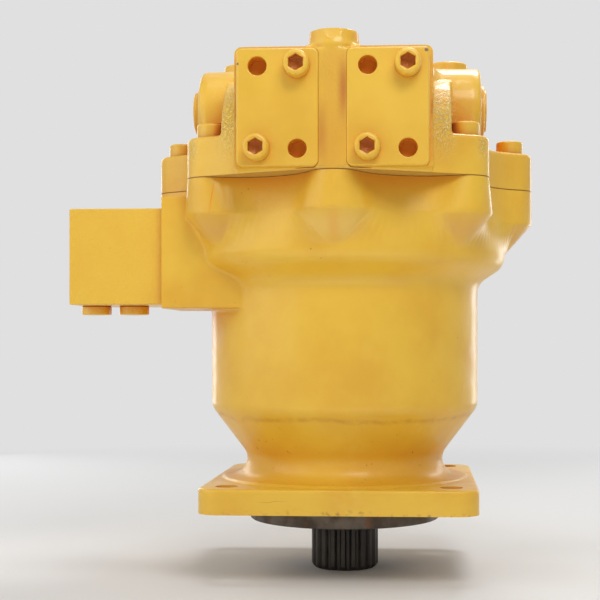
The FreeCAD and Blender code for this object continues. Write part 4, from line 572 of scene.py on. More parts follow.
def casing_paint():
    """Casing paint with a band of grime on the cone's edge, a dusty flange, and painted light and shade on the
    facets under the bosses.
    """
    n, tone = cast_paint("casting_paint_casing", 0.11, 0.17)
    # painted light: downward facets under the bosses are paler at the front, browner towards the sides, as if
    # lit from below
    facet = n.times(n.fade(n.facing, -0.42, -0.56), n.band(n.z, 208.0, 16.0), 0.75)
    facet_light_and_shade = n.mix(n.fade(n.math("ABSOLUTE", n.x), 0.03, 0.08), FACET_LIT_PALE, FACET_SHADED_BROWN)
    tone = n.mix(facet, tone, facet_light_and_shade)
    ragged = n.math("MULTIPLY_ADD", n.noise(26, 4), 0.012, n.math("SUBTRACT", n.z, 0.006))
    edge = n.times(n.band(ragged, 69.0, 3.0), n.fade(n.noise(140, 5), 0.3, 0.68, 0.06, 0.34))
    tone = n.mix(edge, tone, EDGE_DIRT)
    # a dark line along the lug's parting line, and painted shade down the crease in the middle of the front
    # facet
    leaning = n.math("MULTIPLY_ADD", n.z, -0.15, n.x)
    parting = n.times(n.patch(leaning, -125.0, 0.9, 232.0, 17.0), n.fade(n.y, -0.095, -0.1))
    middle = n.times(n.patch(n.x, 0.0, 7.0, 208.0, 16.0), n.fade(n.y, -0.11, -0.12), 0.3)
    tone = n.mix(n.math("MAXIMUM", parting, middle), tone, SHADE_ORANGE)
    tone = n.mix(n.times(n.fade(n.z, 0.2458, 0.2462), 0.4), tone, RUST)
    foot = n.times(n.band(ragged, 0.5, 4.5), n.fade(n.noise(260, 5), 0.5, 0.66, 0.0, 0.7),
                   n.fade(n.math("MULTIPLY_ADD", n.noise(14, 2), 0.2, n.x), 0.02, 0.15, 0.35, 1.0))
    tone = n.mix(foot, tone, RUST)
    wavy = n.math("MULTIPLY_ADD", n.noise(45, 2), 0.007, n.math("SUBTRACT", n.z, 0.0035))
    scratch = n.times(n.band(wavy, 9.6, 0.45), n.band(n.x, -48.0, 15.0), n.fade(n.y, -0.1, -0.1035), 0.6)
    tone = n.mix(scratch, tone, SCRATCH_BROWN)
    neck = n.times(n.band(ragged, 45.0, 30.0), n.fade(n.noise(240, 3), 0.66, 0.72, 0.0, 0.7),
                   n.fade(n.noise(30, 2), 0.48, 0.6))
    n.put(Base_Color=n.mix(neck, tone, RUST))
    return n.material


def rough_sides(n):
    """1 on the rough-cast strips beside the port block, less on the lugs' outer corners."""
    side = n.math("ABSOLUTE", n.x)
    strip = n.patch(side, 77.0, 13.0, 290.0, 42.0)
    corner = n.times(n.patch(side, 105.0, 7.0, 268.0, 14.0), 0.5)
    return n.times(n.math("MAXIMUM", strip, corner), n.fade(n.y, -0.06, -0.075))


def cover_paint():
    """Cover paint: rough strips, painted shade on the column and in the gaps and hollows by the port plates,
    painted light in the open holes, on the undersides and on the left strip, and the line of the joint.
    """
    n, tone = cast_paint("casting_paint_cover", 0.16, 0.28, rough_sides)
    front = n.fade(n.y, -0.138, -0.1405)
    # painted shadows along the port plates' inner edges
    gap_shades = n.math("MAXIMUM", n.patch(n.x, 7.6, 6.0, 302.0, 34.0),
                  n.times(n.patch(n.x, -7.4, 6.0, 272.0, 34.0), 0.6))
    # painted shade: the column between the port plates is darker, as if set back
    column = n.times(n.band(n.x, 0.0, 15.0), n.fade(n.z, 0.335, 0.325), front, 0.45)
    # painted shade in a hollow beside each port plate's outer edge
    hollow = n.times(n.patch(n.math("ABSOLUTE", n.x), 68.7, 1.7, 289.0, 14.0), front, 0.9)
    # painted bounce light: the insides of the open holes turn bright orange by their occlusion
    hole = n.times(n.fade(n.y, -0.13, -0.134), n.fade(n.occlusion(12), 0.6, 0.3))
    tone = n.mix(column, tone, COLUMN_SHADE)
    tone = n.mix(n.math("MAXIMUM", n.times(gap_shades, front, 0.95), hollow), tone, GAP_SHADE_BROWN)
    tone = n.mix(hole, tone, HOLE_LIGHT_ORANGE)
    # painted light: faces looking down just above the joint are paler, as if lit from below
    under = n.fade(n.facing, -0.4, -0.9)
    tone = n.mix(n.times(under, n.fade(n.z, 0.256, 0.25), 0.9), tone, PALE_YELLOW)
    # painted light: the rough strip left of the port block is brighter, where the block shades it
    strip = n.times(n.patch(n.x, -76.0, 10.0, 288.0, 42.0), n.fade(n.y, -0.07, -0.08), 0.8)
    tone = n.mix(strip, tone, LEFT_STRIP_LIGHT)
    n.put(Base_Color=n.mix(n.times(n.fade(n.z, 0.2472, 0.2468), 0.4), tone, RUST))
    return n.material


def machined_paint(name, texture, marks=(), patches=0.45, socket=0.0):
    """Smoother paint over a machined face, with painted shade in its sockets and a few marks."""
    n = Nodes(name)
    tone = paint_colour(n, 0.35, 0.25, patches)
    # painted shade: sockets and other recesses darken to brown by their occlusion
    sunk = n.fade(n.occlusion(9), 0.62, 0.35, 0.0, socket)
    tone = n.mix(sunk, tone, SOCKET_SHADE_BROWN)
    for centre, radius, colour in marks:
        tone = n.mix(n.spot(centre, radius), tone, colour)
    height = n.math("MULTIPLY_ADD", n.noise(130, 3), 0.5, n.noise(420, 3))
    rough = n.math("MULTIPLY_ADD", sunk, 0.4, n.fade(n.noise(50, 3), 0.3, 0.7, 0.36, 0.46))
    n.put(Base_Color=tone, Roughness=rough, Normal=n.bump(height, 0.12 * texture),
          Coat_Weight=n.fade(sunk, 0.0, 0.5, 0.28, 0.0), Coat_Roughness=0.12)
    return n.material


def bare_cast():
    """Bare turned iron of the pilot, grey-brown with turning marks and rust film."""
    n = Nodes("pilot_iron")
    tone = n.mix(n.fade(n.noise(40, 5), 0.35, 0.65), (0.15, 0.125, 0.10), (0.085, 0.068, 0.054))
    tone = n.mix(n.fade(n.noise(120, 4), 0.58, 0.7, 0.0, 0.6), tone, RUST)
    radius = n.math("SQRT", n.math("ADD", n.math("POWER", n.x, 2.0), n.math("POWER", n.y, 2.0)))
    turning = n.noise(900, 1, place=n.node("ShaderNodeCombineXYZ", {0: radius, 2: n.z}).outputs[0])
    n.put(Base_Color=tone, Roughness=n.fade(n.noise(80, 3), 0.3, 0.7, 0.45, 0.7), Metallic=0.6,
          Normal=n.bump(turning, 0.05))
    return n.material


def metal(name, dark, light, low, high, metallic=1.0, grain=300, depth=0.03):
    """Plain metal with patches and a fine grain."""
    n = Nodes(name)
    tone = n.mix(n.fade(n.noise(35, 4), 0.35, 0.65), dark, light)
    n.put(Base_Color=tone, Roughness=n.fade(n.noise(70, 4), 0.3, 0.7, low, high), Metallic=metallic,
          Normal=n.bump(n.noise(grain, 3), depth))
    return n.material


def node_finishes():
    """Finishes of the CAD nodes that stay, by material slot."""
    return {
        "shaft_steel": metal("shaft_dark_steel", (0.036, 0.031, 0.027), (0.066, 0.057, 0.048), 0.36, 0.52,
                             0.7),
        "bearing_steel": metal("bearing_bright_steel", (0.42, 0.42, 0.41), (0.6, 0.6, 0.58), 0.16, 0.28),
        "ground_steel": metal("ground_grey_steel", (0.34, 0.34, 0.33), (0.5, 0.5, 0.48), 0.25, 0.4),
        "spring_steel": metal("spring_blue_steel", (0.12, 0.12, 0.13), (0.22, 0.22, 0.23), 0.3, 0.42),
        "bronze": metal("sliding_bronze", (0.5, 0.29, 0.1), (0.64, 0.42, 0.18), 0.25, 0.4),
        "friction_lining": metal("paper_lining", (0.09, 0.065, 0.045), (0.15, 0.115, 0.08), 0.75, 0.95,
                                 0.0, 700, 0.2),
        "seal_rubber": metal("black_rubber", (0.014, 0.014, 0.014), (0.026, 0.025, 0.024), 0.5, 0.7, 0.0,
                             400, 0.05),
    }


def dress_nodes(paint):
    """Give each CAD node the finish of its slot."""
    finishes = node_finishes()
    finishes.update({"casting_paint": paint, "plate_paint": paint, "fastener_paint": paint})
    for part in frame["record"]["subparts"]:
        node = frame["nodes"][part["node"]]
        for slot in node.material_slots:
            slot.material = finishes[part["material_slot"]]
    return finishes


def drum_profile():
    """(radius, height) outline of the round part of the casing, above the flange."""
    slope = math.tan(math.radians(CONE_ANGLE))
    touch = math.radians(180 - CONE_ANGLE)
    touch_r = NECK_R + NECK_FILLET_R * (1 + math.cos(touch))
    touch_z = STEP_Z + NECK_FILLET_R * (1 + math.sin(touch))
    neck_vertex_r = touch_r - slope * (touch_z - STEP_Z)
    cone_top_z = touch_z + (DRUM_R - touch_r) / slope
    shoulder_top_z = SHOULDER_Z + (RING_R - DRUM_R) / math.tan(math.radians(SHOULDER_ANGLE))
    corners = [
        (STEP_R, FLANGE_THICKNESS - 8, 0),
        (STEP_R, STEP_Z, 0.8),
        (neck_vertex_r, STEP_Z, NECK_FILLET_R),
        (DRUM_R, cone_top_z, NECK_FILLET_R),
        (DRUM_R, SHOULDER_Z, SHOULDER_FILLET_R),
        (RING_R, shoulder_top_z, SHOULDER_FILLET_R),
        (RING_R, BOSS_FOOT_Z + 1, 0),
    ]
    return rounded(corners, steps=14, closed=False)


def petal_points(z, boss_centre_r, boss_r, valley_r, per_arc=14, straight=()):
    """Level outline with a round boss at each cover screw and a tangent hollow or straight side between."""
    half_step = 180.0 / BOLT_COUNT
    fall = boss_r - valley_r
    spread = boss_centre_r * math.cos(math.radians(half_step)) + fall
    valley_centre_r = (boss_centre_r ** 2 - fall ** 2) / (2 * spread)
    points = []
    for k in range(BOLT_COUNT):
        angle = 2 * half_step * k
        boss = polar(boss_centre_r, angle)
        valley = polar(valley_centre_r, angle + half_step)
        reach = valley - boss
        swing = (math.degrees(math.atan2(reach.y, reach.x)) - angle) % 360
        before = half_step if angle - half_step in straight else swing
        flat = angle + half_step in straight
        after = half_step if flat else swing
        for n in range(per_arc + flat):
            points.append(boss + polar(boss_r, angle - before + (before + after) * n / per_arc))
        if flat:
            continue
        start = math.degrees(math.atan2(-reach.y, -reach.x))
        opening = (2 * (angle + half_step + 180 - start) + 180) % 360 - 180
        for n in range(per_arc):
            points.append(valley + polar(valley_centre_r - valley_r, start + opening * n / per_arc))
    return [(p.x, p.y, z) for p in points]


def round_points(z, per_arc=14):
    """The round section where the bosses run out, with the same number of points."""
    step = 360.0 / BOLT_COUNT
    points = []
    for k in range(BOLT_COUNT):
        first = step * k - BOSS_FOOT_ANGLE
        for n in range(per_arc):
            points.append(polar(RING_R, first + 2 * BOSS_FOOT_ANGLE * n / per_arc, z))
        for n in range(per_arc):
            sweep = (step - 2 * BOSS_FOOT_ANGLE) * n / per_arc
            points.append(polar(RING_R, first + 2 * BOSS_FOOT_ANGLE + sweep, z))
    return [tuple(p) for p in points]


def casing_crown():
    """Flared bosses between the ring and the joint face, with stock above it."""
    reach = BOLT_CIRCLE_R + LUG_R
    seam = petal_points(SEAM_Z, BOLT_CIRCLE_R, LUG_R, VALLEY_SEAM_R)
    return loft("crown", [
        round_points(BOSS_FOOT_Z - 3),
        round_points(BOSS_FOOT_Z),
        petal_points(BOSS_FLARE_Z, reach - BOSS_FLARE_R, BOSS_FLARE_R, VALLEY_FLARE_R),
        seam,
        [(x, y, z + STOCK) for x, y, z in seam],
    ])


def seam_groove(low, high, straight=()):
    """Tool for the thin line along the joint between casing and cover."""
    outer = petal_points(0, BOLT_CIRCLE_R, LUG_R + 8, VALLEY_SEAM_R + 8, straight=straight)
    inner = petal_points(0, BOLT_CIRCLE_R, LUG_R - SEAM_GROOVE_DEPTH, VALLEY_SEAM_R - SEAM_GROOVE_DEPTH,
                         straight=straight)
    section = ((outer, low), (outer, high), (inner, high), (inner, low))
    return loft("seam_groove", [[(p[0], p[1], z) for p in ring] for ring, z in section], ring_shaped=True)


def casing_hollow():
    """Tool for the space round the rotating group and the brake."""
    return lathe("hollow", [
        (SEAL_BORE_R, -PILOT_LENGTH - STOCK), (SEAL_BORE_R, SEAL_TOP_Z), (34.0, SEAL_TOP_Z),
        (34.0, BEARING_FLOOR_Z - 3), (BEARING_SEAT_R - 9, BEARING_FLOOR_Z - 3),
        (BEARING_SEAT_R - 9, BEARING_FLOOR_Z), (BEARING_SEAT_R, BEARING_FLOOR_Z),
        (BEARING_SEAT_R, SWASH_SEAT_Z), (SWASH_SEAT_R, SWASH_SEAT_Z), (SWASH_SEAT_R, SWASH_SEAT_Z + 8),
        (CAVITY_R, SWASH_SEAT_Z + 36), (CAVITY_R, BRAKE_STOP_Z), (BRAKE_BORE_R, BRAKE_STOP_Z),
        (BRAKE_BORE_R, BRAKE_STEP_Z), (BRAKE_PISTON_BORE_R, BRAKE_STEP_Z),
        (BRAKE_PISTON_BORE_R, SEAM_Z + STOCK),
    ])


def casing(paint):
    """Cast casing: soft outside, then the machined faces, hollow and holes."""
    flange = loft("flange", [[(p.x, p.y, z) for p in rounded(rectangle(
        FLANGE_SIDE - 2 * inset, FLANGE_SIDE - 2 * inset, FLANGE_CORNER_R - inset))]
        for inset, z in [(0.0, -STOCK)] + round_edge(2.2, FLANGE_THICKNESS)])
    front_y = PAD_FRONT_Y - PAD_STEP
    pad = prism("pad", rounded([(-PAD_X - STOCK, front_y, 0), (-60, front_y, 0), (-60, PAD_REAR_Y, 0),
                                (-PAD_X - STOCK, PAD_REAR_Y, 0)]), PAD_BOTTOM_Z, PAD_TOP_Z)
    drain_boss = drill(DRAIN_BOSS_R, polar(DRAIN_FACE_R - 30, DRAIN_ANGLE, DRAIN_PLUG_Z),
                       polar(DRAIN_FACE_R, DRAIN_ANGLE, DRAIN_PLUG_Z))
    skin = cast_skin("casing_skin", [lathe("drum", drum_profile(), 256), casing_crown(), flange, pad,
                                     drain_boss])
    half = FLANGE_HOLE_SPACING / 2
    holes = [drill(FLANGE_HOLE_R, (x, y, -10), (x, y, 40)) for x in (-half, half) for y in (-half, half)]
    for k in range(BOLT_COUNT):
        depth = PAD_HOLE_DEPTH if k == PAD_SCREW else COVER_HOLE_DEPTH
        holes.append(drill(COVER_SCREW_R, bolt_place(k, SEAM_Z - depth), bolt_place(k, SEAM_Z + 10)))
    cut(skin, [
        box("seam_plane", (-FAR, -FAR, SEAM_Z), (FAR, FAR, SEAM_Z + 50)),
        box("base_plane", (-FAR, -FAR, -50), (FAR, FAR, 0)),
        box("pad_plane", (-PAD_X - 50, PAD_FRONT_Y - 30, PAD_BOTTOM_Z - 30),
            (-PAD_X, PAD_REAR_Y + 35, BLOCK_TOP_Z + 0.8)),
        box("pad_front", (-PAD_X - 50, PAD_FRONT_Y - 30, BLOCK_TOP_Z), (-PAD_X, -28, PAD_TOP_Z + 5)),
        seam_groove(SEAM_Z - SEAM_GROOVE, SEAM_Z + 3),
        casing_hollow(),
        merged("holes", holes),
    ])
    return finished(skin, paint, ["casing"])


def pilot():
    """Bare turned spigot under the flange."""
    profile = [(SEAL_BORE_R, 1.0), (SEAL_BORE_R, -13.2), (SEAL_BORE_R + 0.8, -PILOT_LENGTH),
               (PILOT_R - 2.2, -PILOT_LENGTH), (PILOT_R - 1.2, -PILOT_LENGTH + 0.2),
               (PILOT_R - 0.3, -PILOT_LENGTH + 0.9), (PILOT_R, -PILOT_LENGTH + 2), (PILOT_R, -0.8),
               (PILOT_R - 0.8, -0.8), (PILOT_R - 0.8, 1.0)]
    obj = lathe("pilot_spigot", profile, 192, ring_shaped=True)
    return finished(obj, bare_cast(), ["casing"])


def relief_bodies():
    """Relief valve boss across the cover, its webs and the hollow corners at the port block."""
    edge = [(RELIEF_BOSS_R - RELIEF_TAPER - inset, x)
            for inset, x in round_edge(RELIEF_EDGE_R, RELIEF_BOSS_X, 6)]
    profile = [(r, -x) for r, x in reversed(edge)] + [(RELIEF_BOSS_R, -70), (RELIEF_BOSS_R, 70)] + edge
    parts = [placed(lathe("relief", profile, 128), (0, RELIEF_Y, RELIEF_Z), (1, 0, 0))]
    front_y = RELIEF_Y - RELIEF_BOSS_R
    inner_x = PORT_HALF_WIDTH - 5
    outer_x = RELIEF_BOSS_X - RELIEF_EDGE_R
    for side in (-1, 1):
        curve = rounded([(inner_x, front_y - COVE_R, 0), (PORT_HALF_WIDTH, front_y - COVE_R, 0),
                         (PORT_HALF_WIDTH, front_y, COVE_R), (outer_x, front_y, 3),
                         (outer_x, front_y + 4, 0)], closed=False)
        outline = [(inner_x, RELIEF_Y)] + [(p.x, p.y) for p in curve] + [(outer_x, RELIEF_Y)]
        parts.append(prism("web", [(side * x, y) for x, y in outline], SEAM_Z, RELIEF_Z))
        hollow = [(p.x, p.y - RELIEF_Y) for p in curve] + [(inner_x, 4 - RELIEF_BOSS_R)]
        rings = []
        for n in range(13):
            a = math.radians(4.2 * n)
            rings.append([(side * x, RELIEF_Y + y * math.cos(a),
                           RELIEF_Z + min(-y * math.sin(a), PORT_TOP_Z - 1 - RELIEF_Z)) for x, y in hollow])
        parts.append(loft("cove", rings))
        rings = []
        for x in (inner_x, WEB_OUTER_X):
            front = -109.7 - 0.4148 * (100 - x)
            slope = [(front + back, z) for back, z in WEB_SLOPE] + [(-78, WEB_TOP_Z), (RELIEF_Y, WEB_TOP_Z)]
            rings.append([(side * x, y, z) for y, z in [(RELIEF_Y, SEAM_Z)] + slope])
        parts.append(loft("rough_web", rings))
    return parts


def makeup_bodies():
    """Make-up valve bosses with the web that joins them to the cover's body."""
    parts = []
    for side in (-1, 1):
        parts.append(drill(MAKEUP_BOSS_R, (side * MAKEUP_X, MAKEUP_Y, SEAM_Z),
                           (side * MAKEUP_X, MAKEUP_Y, MAKEUP_BOSS_TOP_Z), 96))
        web = sorted((0, side * MAKEUP_X))
        parts.append(box("web", (web[0], MAKEUP_Y - MAKEUP_BOSS_R + 4, SEAM_Z),
                         (web[1], MAKEUP_Y + MAKEUP_BOSS_R - 4, MAKEUP_BOSS_TOP_Z - 14)))
    return parts


def cover_bores():
    """Tools for the cover's screw seats, tapped holes, valve bores and passages, in separate sets."""
    seats, shanks, taps, ports, valves, checks = [], [], [], [], [], []
    for k in range(BOLT_COUNT):
        front = k == FRONT_SCREW
        floor_z = LONG_BOSS_FLOOR_Z if front else SPOTFACE_Z
        radius = COVER_SCREW_HEAD_R + 1.5 if front else SPOTFACE_R
        top_z = SPOTFACE_TOP_Z if k in RELIEF_SCREWS else 360
        seats.append(drill(radius, bolt_place(k, floor_z), bolt_place(k, top_z), 64))
        shanks.append(drill(COVER_SCREW_R + 0.6, bolt_place(k, SEAM_Z - 10), bolt_place(k, floor_z + 5), 32))
    for side in (-1, 1):
        port_x = side * PORT_X
        ports.append(drill(PORT_BORE_R, (port_x, PORT_FACE_Y - 10, PORT_Z), (port_x, -13, PORT_Z)))
        for x, z, screwed in port_holes(side):
            depth = PORT_SCREW_DEPTH if screwed else OPEN_HOLE_DEPTH
            taps.append(drill(PORT_SCREW_R, (x, PORT_FACE_Y - 10, z), (x, PORT_FACE_Y + depth, z)))
        for radius, inner in RELIEF_BORES:
            valves.append(drill(radius, (side * inner, RELIEF_Y, RELIEF_Z),
                                (side * (RELIEF_BOSS_X + 5), RELIEF_Y, RELIEF_Z)))
        for radius, low in MAKEUP_BORES:
            checks.append(drill(radius, (side * MAKEUP_X, MAKEUP_Y, low),
                                (side * MAKEUP_X, MAKEUP_Y, MAKEUP_BOSS_TOP_Z + 9)))
    bearing = lathe("bearing", [(26, SEAM_Z - 5), (26, 251), (40, 251), (40, 272), (34, 272), (34, 284)], 96)
    return [merged("seats", seats), merged("shanks", shanks), merged("taps", taps), merged("ports", ports),
            *valves, *checks, bearing]


def rear_cover(paint):
    """Cast cover: plate, port block, body and valve bosses, then its machined faces and bores."""
    low = SEAM_Z - STOCK
    plate = loft("plate", [petal_points(z, BOLT_CIRCLE_R, LUG_R - inset, VALLEY_SEAM_R - inset,
                                        straight=STRAIGHT_SIDES)
                           for inset, z in [(0.0, low)] + round_edge(3.2, PLATE_TOP_Z)])
    ports = prism("ports", upright(PORT_HALF_WIDTH, PORT_UNDERSIDE_Z, PORT_TOP_Z, PORT_CORNER_R),
                  PORT_FACE_Y - STOCK, PORT_REAR_Y, "Y")
    column = box("column", (-COLUMN_HALF_WIDTH, COLUMN_FACE_Y, PORT_UNDERSIDE_Z),
                 (COLUMN_HALF_WIDTH, PORT_FACE_Y + 5, 330))
    body = prism("body", upright(BODY_HALF_WIDTH, low, BODY_TOP_Z, BODY_CORNER_R),
                 PORT_REAR_Y - 10, BODY_REAR_Y, "Y")
    boss = lathe("front_boss", [(LONG_BOSS_R, low), (LONG_BOSS_R, 331), (LONG_BOSS_R + 1.2, 333),
                                (LONG_BOSS_R + 0.2, 336), (LONG_BOSS_R - 0.4, LONG_BOSS_TOP_Z)], 96)
    skin = cast_skin("cover_skin", [plate, ports, column, body, placed(boss, (0, -BOLT_CIRCLE_R, 0)),
                                    *relief_bodies(), *makeup_bodies()])
    lip_z = PORT_PLATE_Z - PORT_PLATE_HEIGHT / 2 - 0.4
    valley = PORT_X - PORT_PLATE_WIDTH / 2 - 0.08
    ledge_z = PORT_PLATE_Z + PORT_PLATE_HEIGHT / 2 + 0.3
    faces = [box("seam_plane", (-FAR, -FAR, SEAM_Z - 60), (FAR, FAR, SEAM_Z)),
             seam_groove(SEAM_Z - 3, SEAM_Z + SEAM_GROOVE, STRAIGHT_SIDES)]
    for side in (-1, 1):
        shave = rounded([(valley, lip_z, PORT_PLATE_CORNER_R), (PORT_HALF_WIDTH + 5, lip_z, 0),
                         (PORT_HALF_WIDTH + 5, PORT_TOP_Z + 9, 0), (LONG_BOSS_R + 1.5, PORT_TOP_Z + 9, 0),
                         (LONG_BOSS_R + 1.5, ledge_z, 0), (valley, ledge_z, PORT_PLATE_CORNER_R)])
        faces.append(prism("port_face", [(side * u, v) for u, v in shave],
                           PORT_FACE_Y - 30, PORT_FACE_Y, "Y"))
    dish = [(DISH_R * math.sin(0.1 * math.pi * n), -DISH_DEPTH * math.cos(0.1 * math.pi * n))
            for n in range(11)]
    faces.append(placed(lathe("dish", dish, 96), (0, -BOLT_CIRCLE_R - LONG_BOSS_R - 0.4, 360.0), (0, 1, 0)))
    cut(skin, faces + cover_bores())
    return finished(skin, paint, ["rear_cover"])


def port_plate(side, paint):
    """Blanking plate with soft front edges and four screw holes."""
    rings = []
    steps = [(0.5, -PORT_FACE_Y), (0.0, 0.5 - PORT_FACE_Y)] + round_edge(PORT_PLATE_EDGE_R, -PORT_PLATE_Y, 5)
    for inset, forward in steps:
        corners = rectangle(PORT_PLATE_WIDTH - 2 * inset, PORT_PLATE_HEIGHT - 2 * inset,
                            PORT_PLATE_CORNER_R - inset, (side * PORT_X, PORT_PLATE_Z))
        rings.append([(p.x, -forward, p.y) for p in rounded(corners)])
    name = SIDES[side] + "port_plate"
    plate = loft(name + "_skin", rings)
    holes = []
    for x, z, _ in port_holes(side):
        wider = ((0, -5), (0, 9.3), (0.25, 9.7), (0.9, 10.05), (0.9, 15))
        tool = lathe("hole", [(PORT_PLATE_HOLE_R + more, z_on) for more, z_on in wider], 64)
        holes.append(placed(tool, (x, PORT_FACE_Y, z), (0, -1, 0)))
    cut(plate, [merged("holes", holes)])
    return finished(plate, paint, [name])


def hexagon(across_flats, height, segments):
    """Ring of points on a hexagon, as many as on a circle."""
    points = []
    for k in range(segments):
        a = 2 * math.pi * k / segments
        sector = (a + math.pi / 6) % (math.pi / 3) - math.pi / 6
        r = across_flats / 2 / math.cos(sector)
        points.append((r * math.cos(a), r * math.sin(a), height))
    return points


def keyed_head(name, outline, across_flats, depth, seat, direction):
    """Round head from (radius, height) points with a hexagon socket in its top."""
    segments = 72
    top = outline[-1][1]
    rims = [(0.5 * outline[0][0], 0.0), *outline, (across_flats * 0.645, top), (across_flats * 0.6, top - 0.2)]
    flats = ((across_flats + 0.35, 0.6), (across_flats, 1.0), (across_flats, depth - 0.5),
             (across_flats * 0.86, depth))
    rings = [circle(r, h, segments) for r, h in rims]
    rings += [hexagon(width, top - down, segments) for width, down in flats]
    rings.append(circle(0.4, top - depth - 0.8, segments))
    return placed(loft(name, rings), seat, direction)


def soft_edge(radius, height, edge, foot=0.3):
    """Outline of a head's side with a round upper edge."""
    upper = [(radius - inset, z) for inset, z in round_edge(edge, height, 6)]
    return [(radius - foot, 0.0), (radius, foot)] + upper


def cover_screws(paint):
    """Eight socket heads on the bolt circle, the front one sunk in its column."""
    heads = []
    for k in range(BOLT_COUNT):
        seat_z = LONG_BOSS_FLOOR_Z if k == FRONT_SCREW else SPOTFACE_Z
        foot_z = SEAM_Z - (PAD_SCREW_DEPTH if k == PAD_SCREW else COVER_SCREW_DEPTH)
        outline = soft_edge(COVER_SCREW_HEAD_R, COVER_SCREW_HEIGHT, 1.6)
        heads.append(keyed_head("head", outline, 11.6, 8.0, bolt_place(k, seat_z), (0, 0, 1)))
        heads.append(drill(COVER_SCREW_R - 0.05, bolt_place(k, foot_z), bolt_place(k, seat_z - 0.01), 32))
    return finished(merged("cover_screw_heads", heads), paint, ["cover_bolts"])


def port_screws(paint):
    """Two screws on each plate: upper right and lower left."""
    heads = []
    for x, z, screwed in (*port_holes(-1), *port_holes(1)):
        if screwed:
            outline = soft_edge(PORT_SCREW_HEAD_R, PORT_SCREW_HEIGHT, 2.4)
            heads.append(keyed_head("head", outline, 10.0, 7.0, (x, PORT_PLATE_Y, z), (0, -1, 0)))
            heads.append(drill(PORT_SCREW_R - 0.05, (x, PORT_PLATE_Y + 0.01, z),
                               (x, PORT_FACE_Y + 18, z), 32))
    return finished(merged("port_screw_heads", heads), paint, ["port_plate_bolts"])


def relief_head(side, paint):
    """Stepped disc of a relief valve cartridge."""
    thickness = RELIEF_HEAD_SHOWN[side]
    step = RELIEF_HEAD_STEP
    side_view = [(0.3, 0.0), (0.0, 0.3), (0.0, step - 1.0), (0.3, step - 0.3), (1.0, step), (2.6, step),
                 (3.0, step + 0.3)] + [(3.0 + inset, h) for inset, h in round_edge(0.8, thickness, 3)]
    outline = [(RELIEF_HEAD_R - inset, h) for inset, h in side_view]
    name = SIDES[side] + "relief_cartridge"
    head = keyed_head("head", outline, 12.0, 4.6, (side * RELIEF_BOSS_X, RELIEF_Y, RELIEF_Z), (side, 0, 0))
    tube = lathe("tube", [(RELIEF_THREAD_R - 0.05, -0.01), (RELIEF_THREAD_R - 0.05, -30), (7.5, -30),
                          (7.5, -6.5), (1.0, -6.5), (1.0, -0.01)], 64, ring_shaped=True)
    placed(tube, (side * RELIEF_BOSS_X, RELIEF_Y, RELIEF_Z), (side, 0, 0))
    return finished(merged(name + "_skin", [head, tube]), paint, [name])


def makeup_head(side, paint):
    """Round plug over a make-up valve."""
    name = SIDES[side] + "makeup_plug"
    outline = soft_edge(MAKEUP_PLUG_R, MAKEUP_PLUG_HEIGHT, 2.0)
    seat = (side * MAKEUP_X, MAKEUP_Y, MAKEUP_BOSS_TOP_Z)
    head = keyed_head("head", outline, 14.0, 8.0, seat, (0, 0, 1))
    tube = lathe("tube", [(11.95, -0.01), (11.95, -18), (8.5, -18), (8.5, -3), (1.0, -3), (1.0, -0.01)], 64,
                 ring_shaped=True)
    return finished(merged(name + "_skin", [head, placed(tube, seat)]), paint, [name])


def valve_block(paint):
    """Machined valve block with sunk screws in its outer face and bores from below."""
    block = box("valve_block_skin", (-BLOCK_OUTER_X, PAD_FRONT_Y, BLOCK_BOTTOM_Z),
                (-PAD_X, BLOCK_REAR_Y, BLOCK_TOP_Z))
    bevel = block.modifiers.new("edges", "BEVEL")
    bevel.width = 1.1 * MM
    bevel.segments = 4
    applied(block)
    sinks = []
    for y in (PAD_FRONT_Y + BLOCK_SCREW_INSET, BLOCK_REAR_Y - BLOCK_SCREW_INSET):
        for z in (BLOCK_BOTTOM_Z + BLOCK_SCREW_INSET, BLOCK_TOP_Z - BLOCK_SCREW_INSET):
            sinks.append(drill(BLOCK_SCREW_HEAD_R + 0.5, (-BLOCK_OUTER_X - 5, y, z),
                               (-BLOCK_SCREW_SEAT_X, y, z)))
    bores = [drill(VALVE_PLUG_THREAD_R, (x, VALVE_PLUG_Y, BLOCK_BOTTOM_Z - 5),
                   (x, VALVE_PLUG_Y, BLOCK_BOTTOM_Z + 60)) for x in VALVE_PLUG_XS]
    cut(block, [merged("sinks", sinks), merged("bores", bores)])
    return finished(block, paint, ["brake_valve_block"])


def valve_plugs(paint):
    """Two round plugs under the valve block."""
    parts = []
    for x in VALVE_PLUG_XS:
        parts.append(keyed_head("head", soft_edge(VALVE_PLUG_R, VALVE_PLUG_HEIGHT, 1.0, 0.8), 10.0, 5.0,
                                (x, VALVE_PLUG_Y, BLOCK_BOTTOM_Z), (0, 0, -1)))
        parts.append(drill(VALVE_PLUG_THREAD_R - 0.05, (x, VALVE_PLUG_Y, BLOCK_BOTTOM_Z + 0.01),
                           (x, VALVE_PLUG_Y, BLOCK_BOTTOM_Z + 14)))
    return finished(merged("valve_plug_heads", parts), paint, ["brake_valve_plugs"])


def drain(paint):
    """Drain plug on the rear right."""
    outline = soft_edge(DRAIN_PLUG_R, DRAIN_PLUG_HEIGHT, 1.0)
    head = keyed_head("drain_plug_head", outline, 10.0, 4.5, polar(DRAIN_FACE_R, DRAIN_ANGLE, DRAIN_PLUG_Z),
                      polar(1, DRAIN_ANGLE))
    return finished(head, paint, ["drain_plug"])


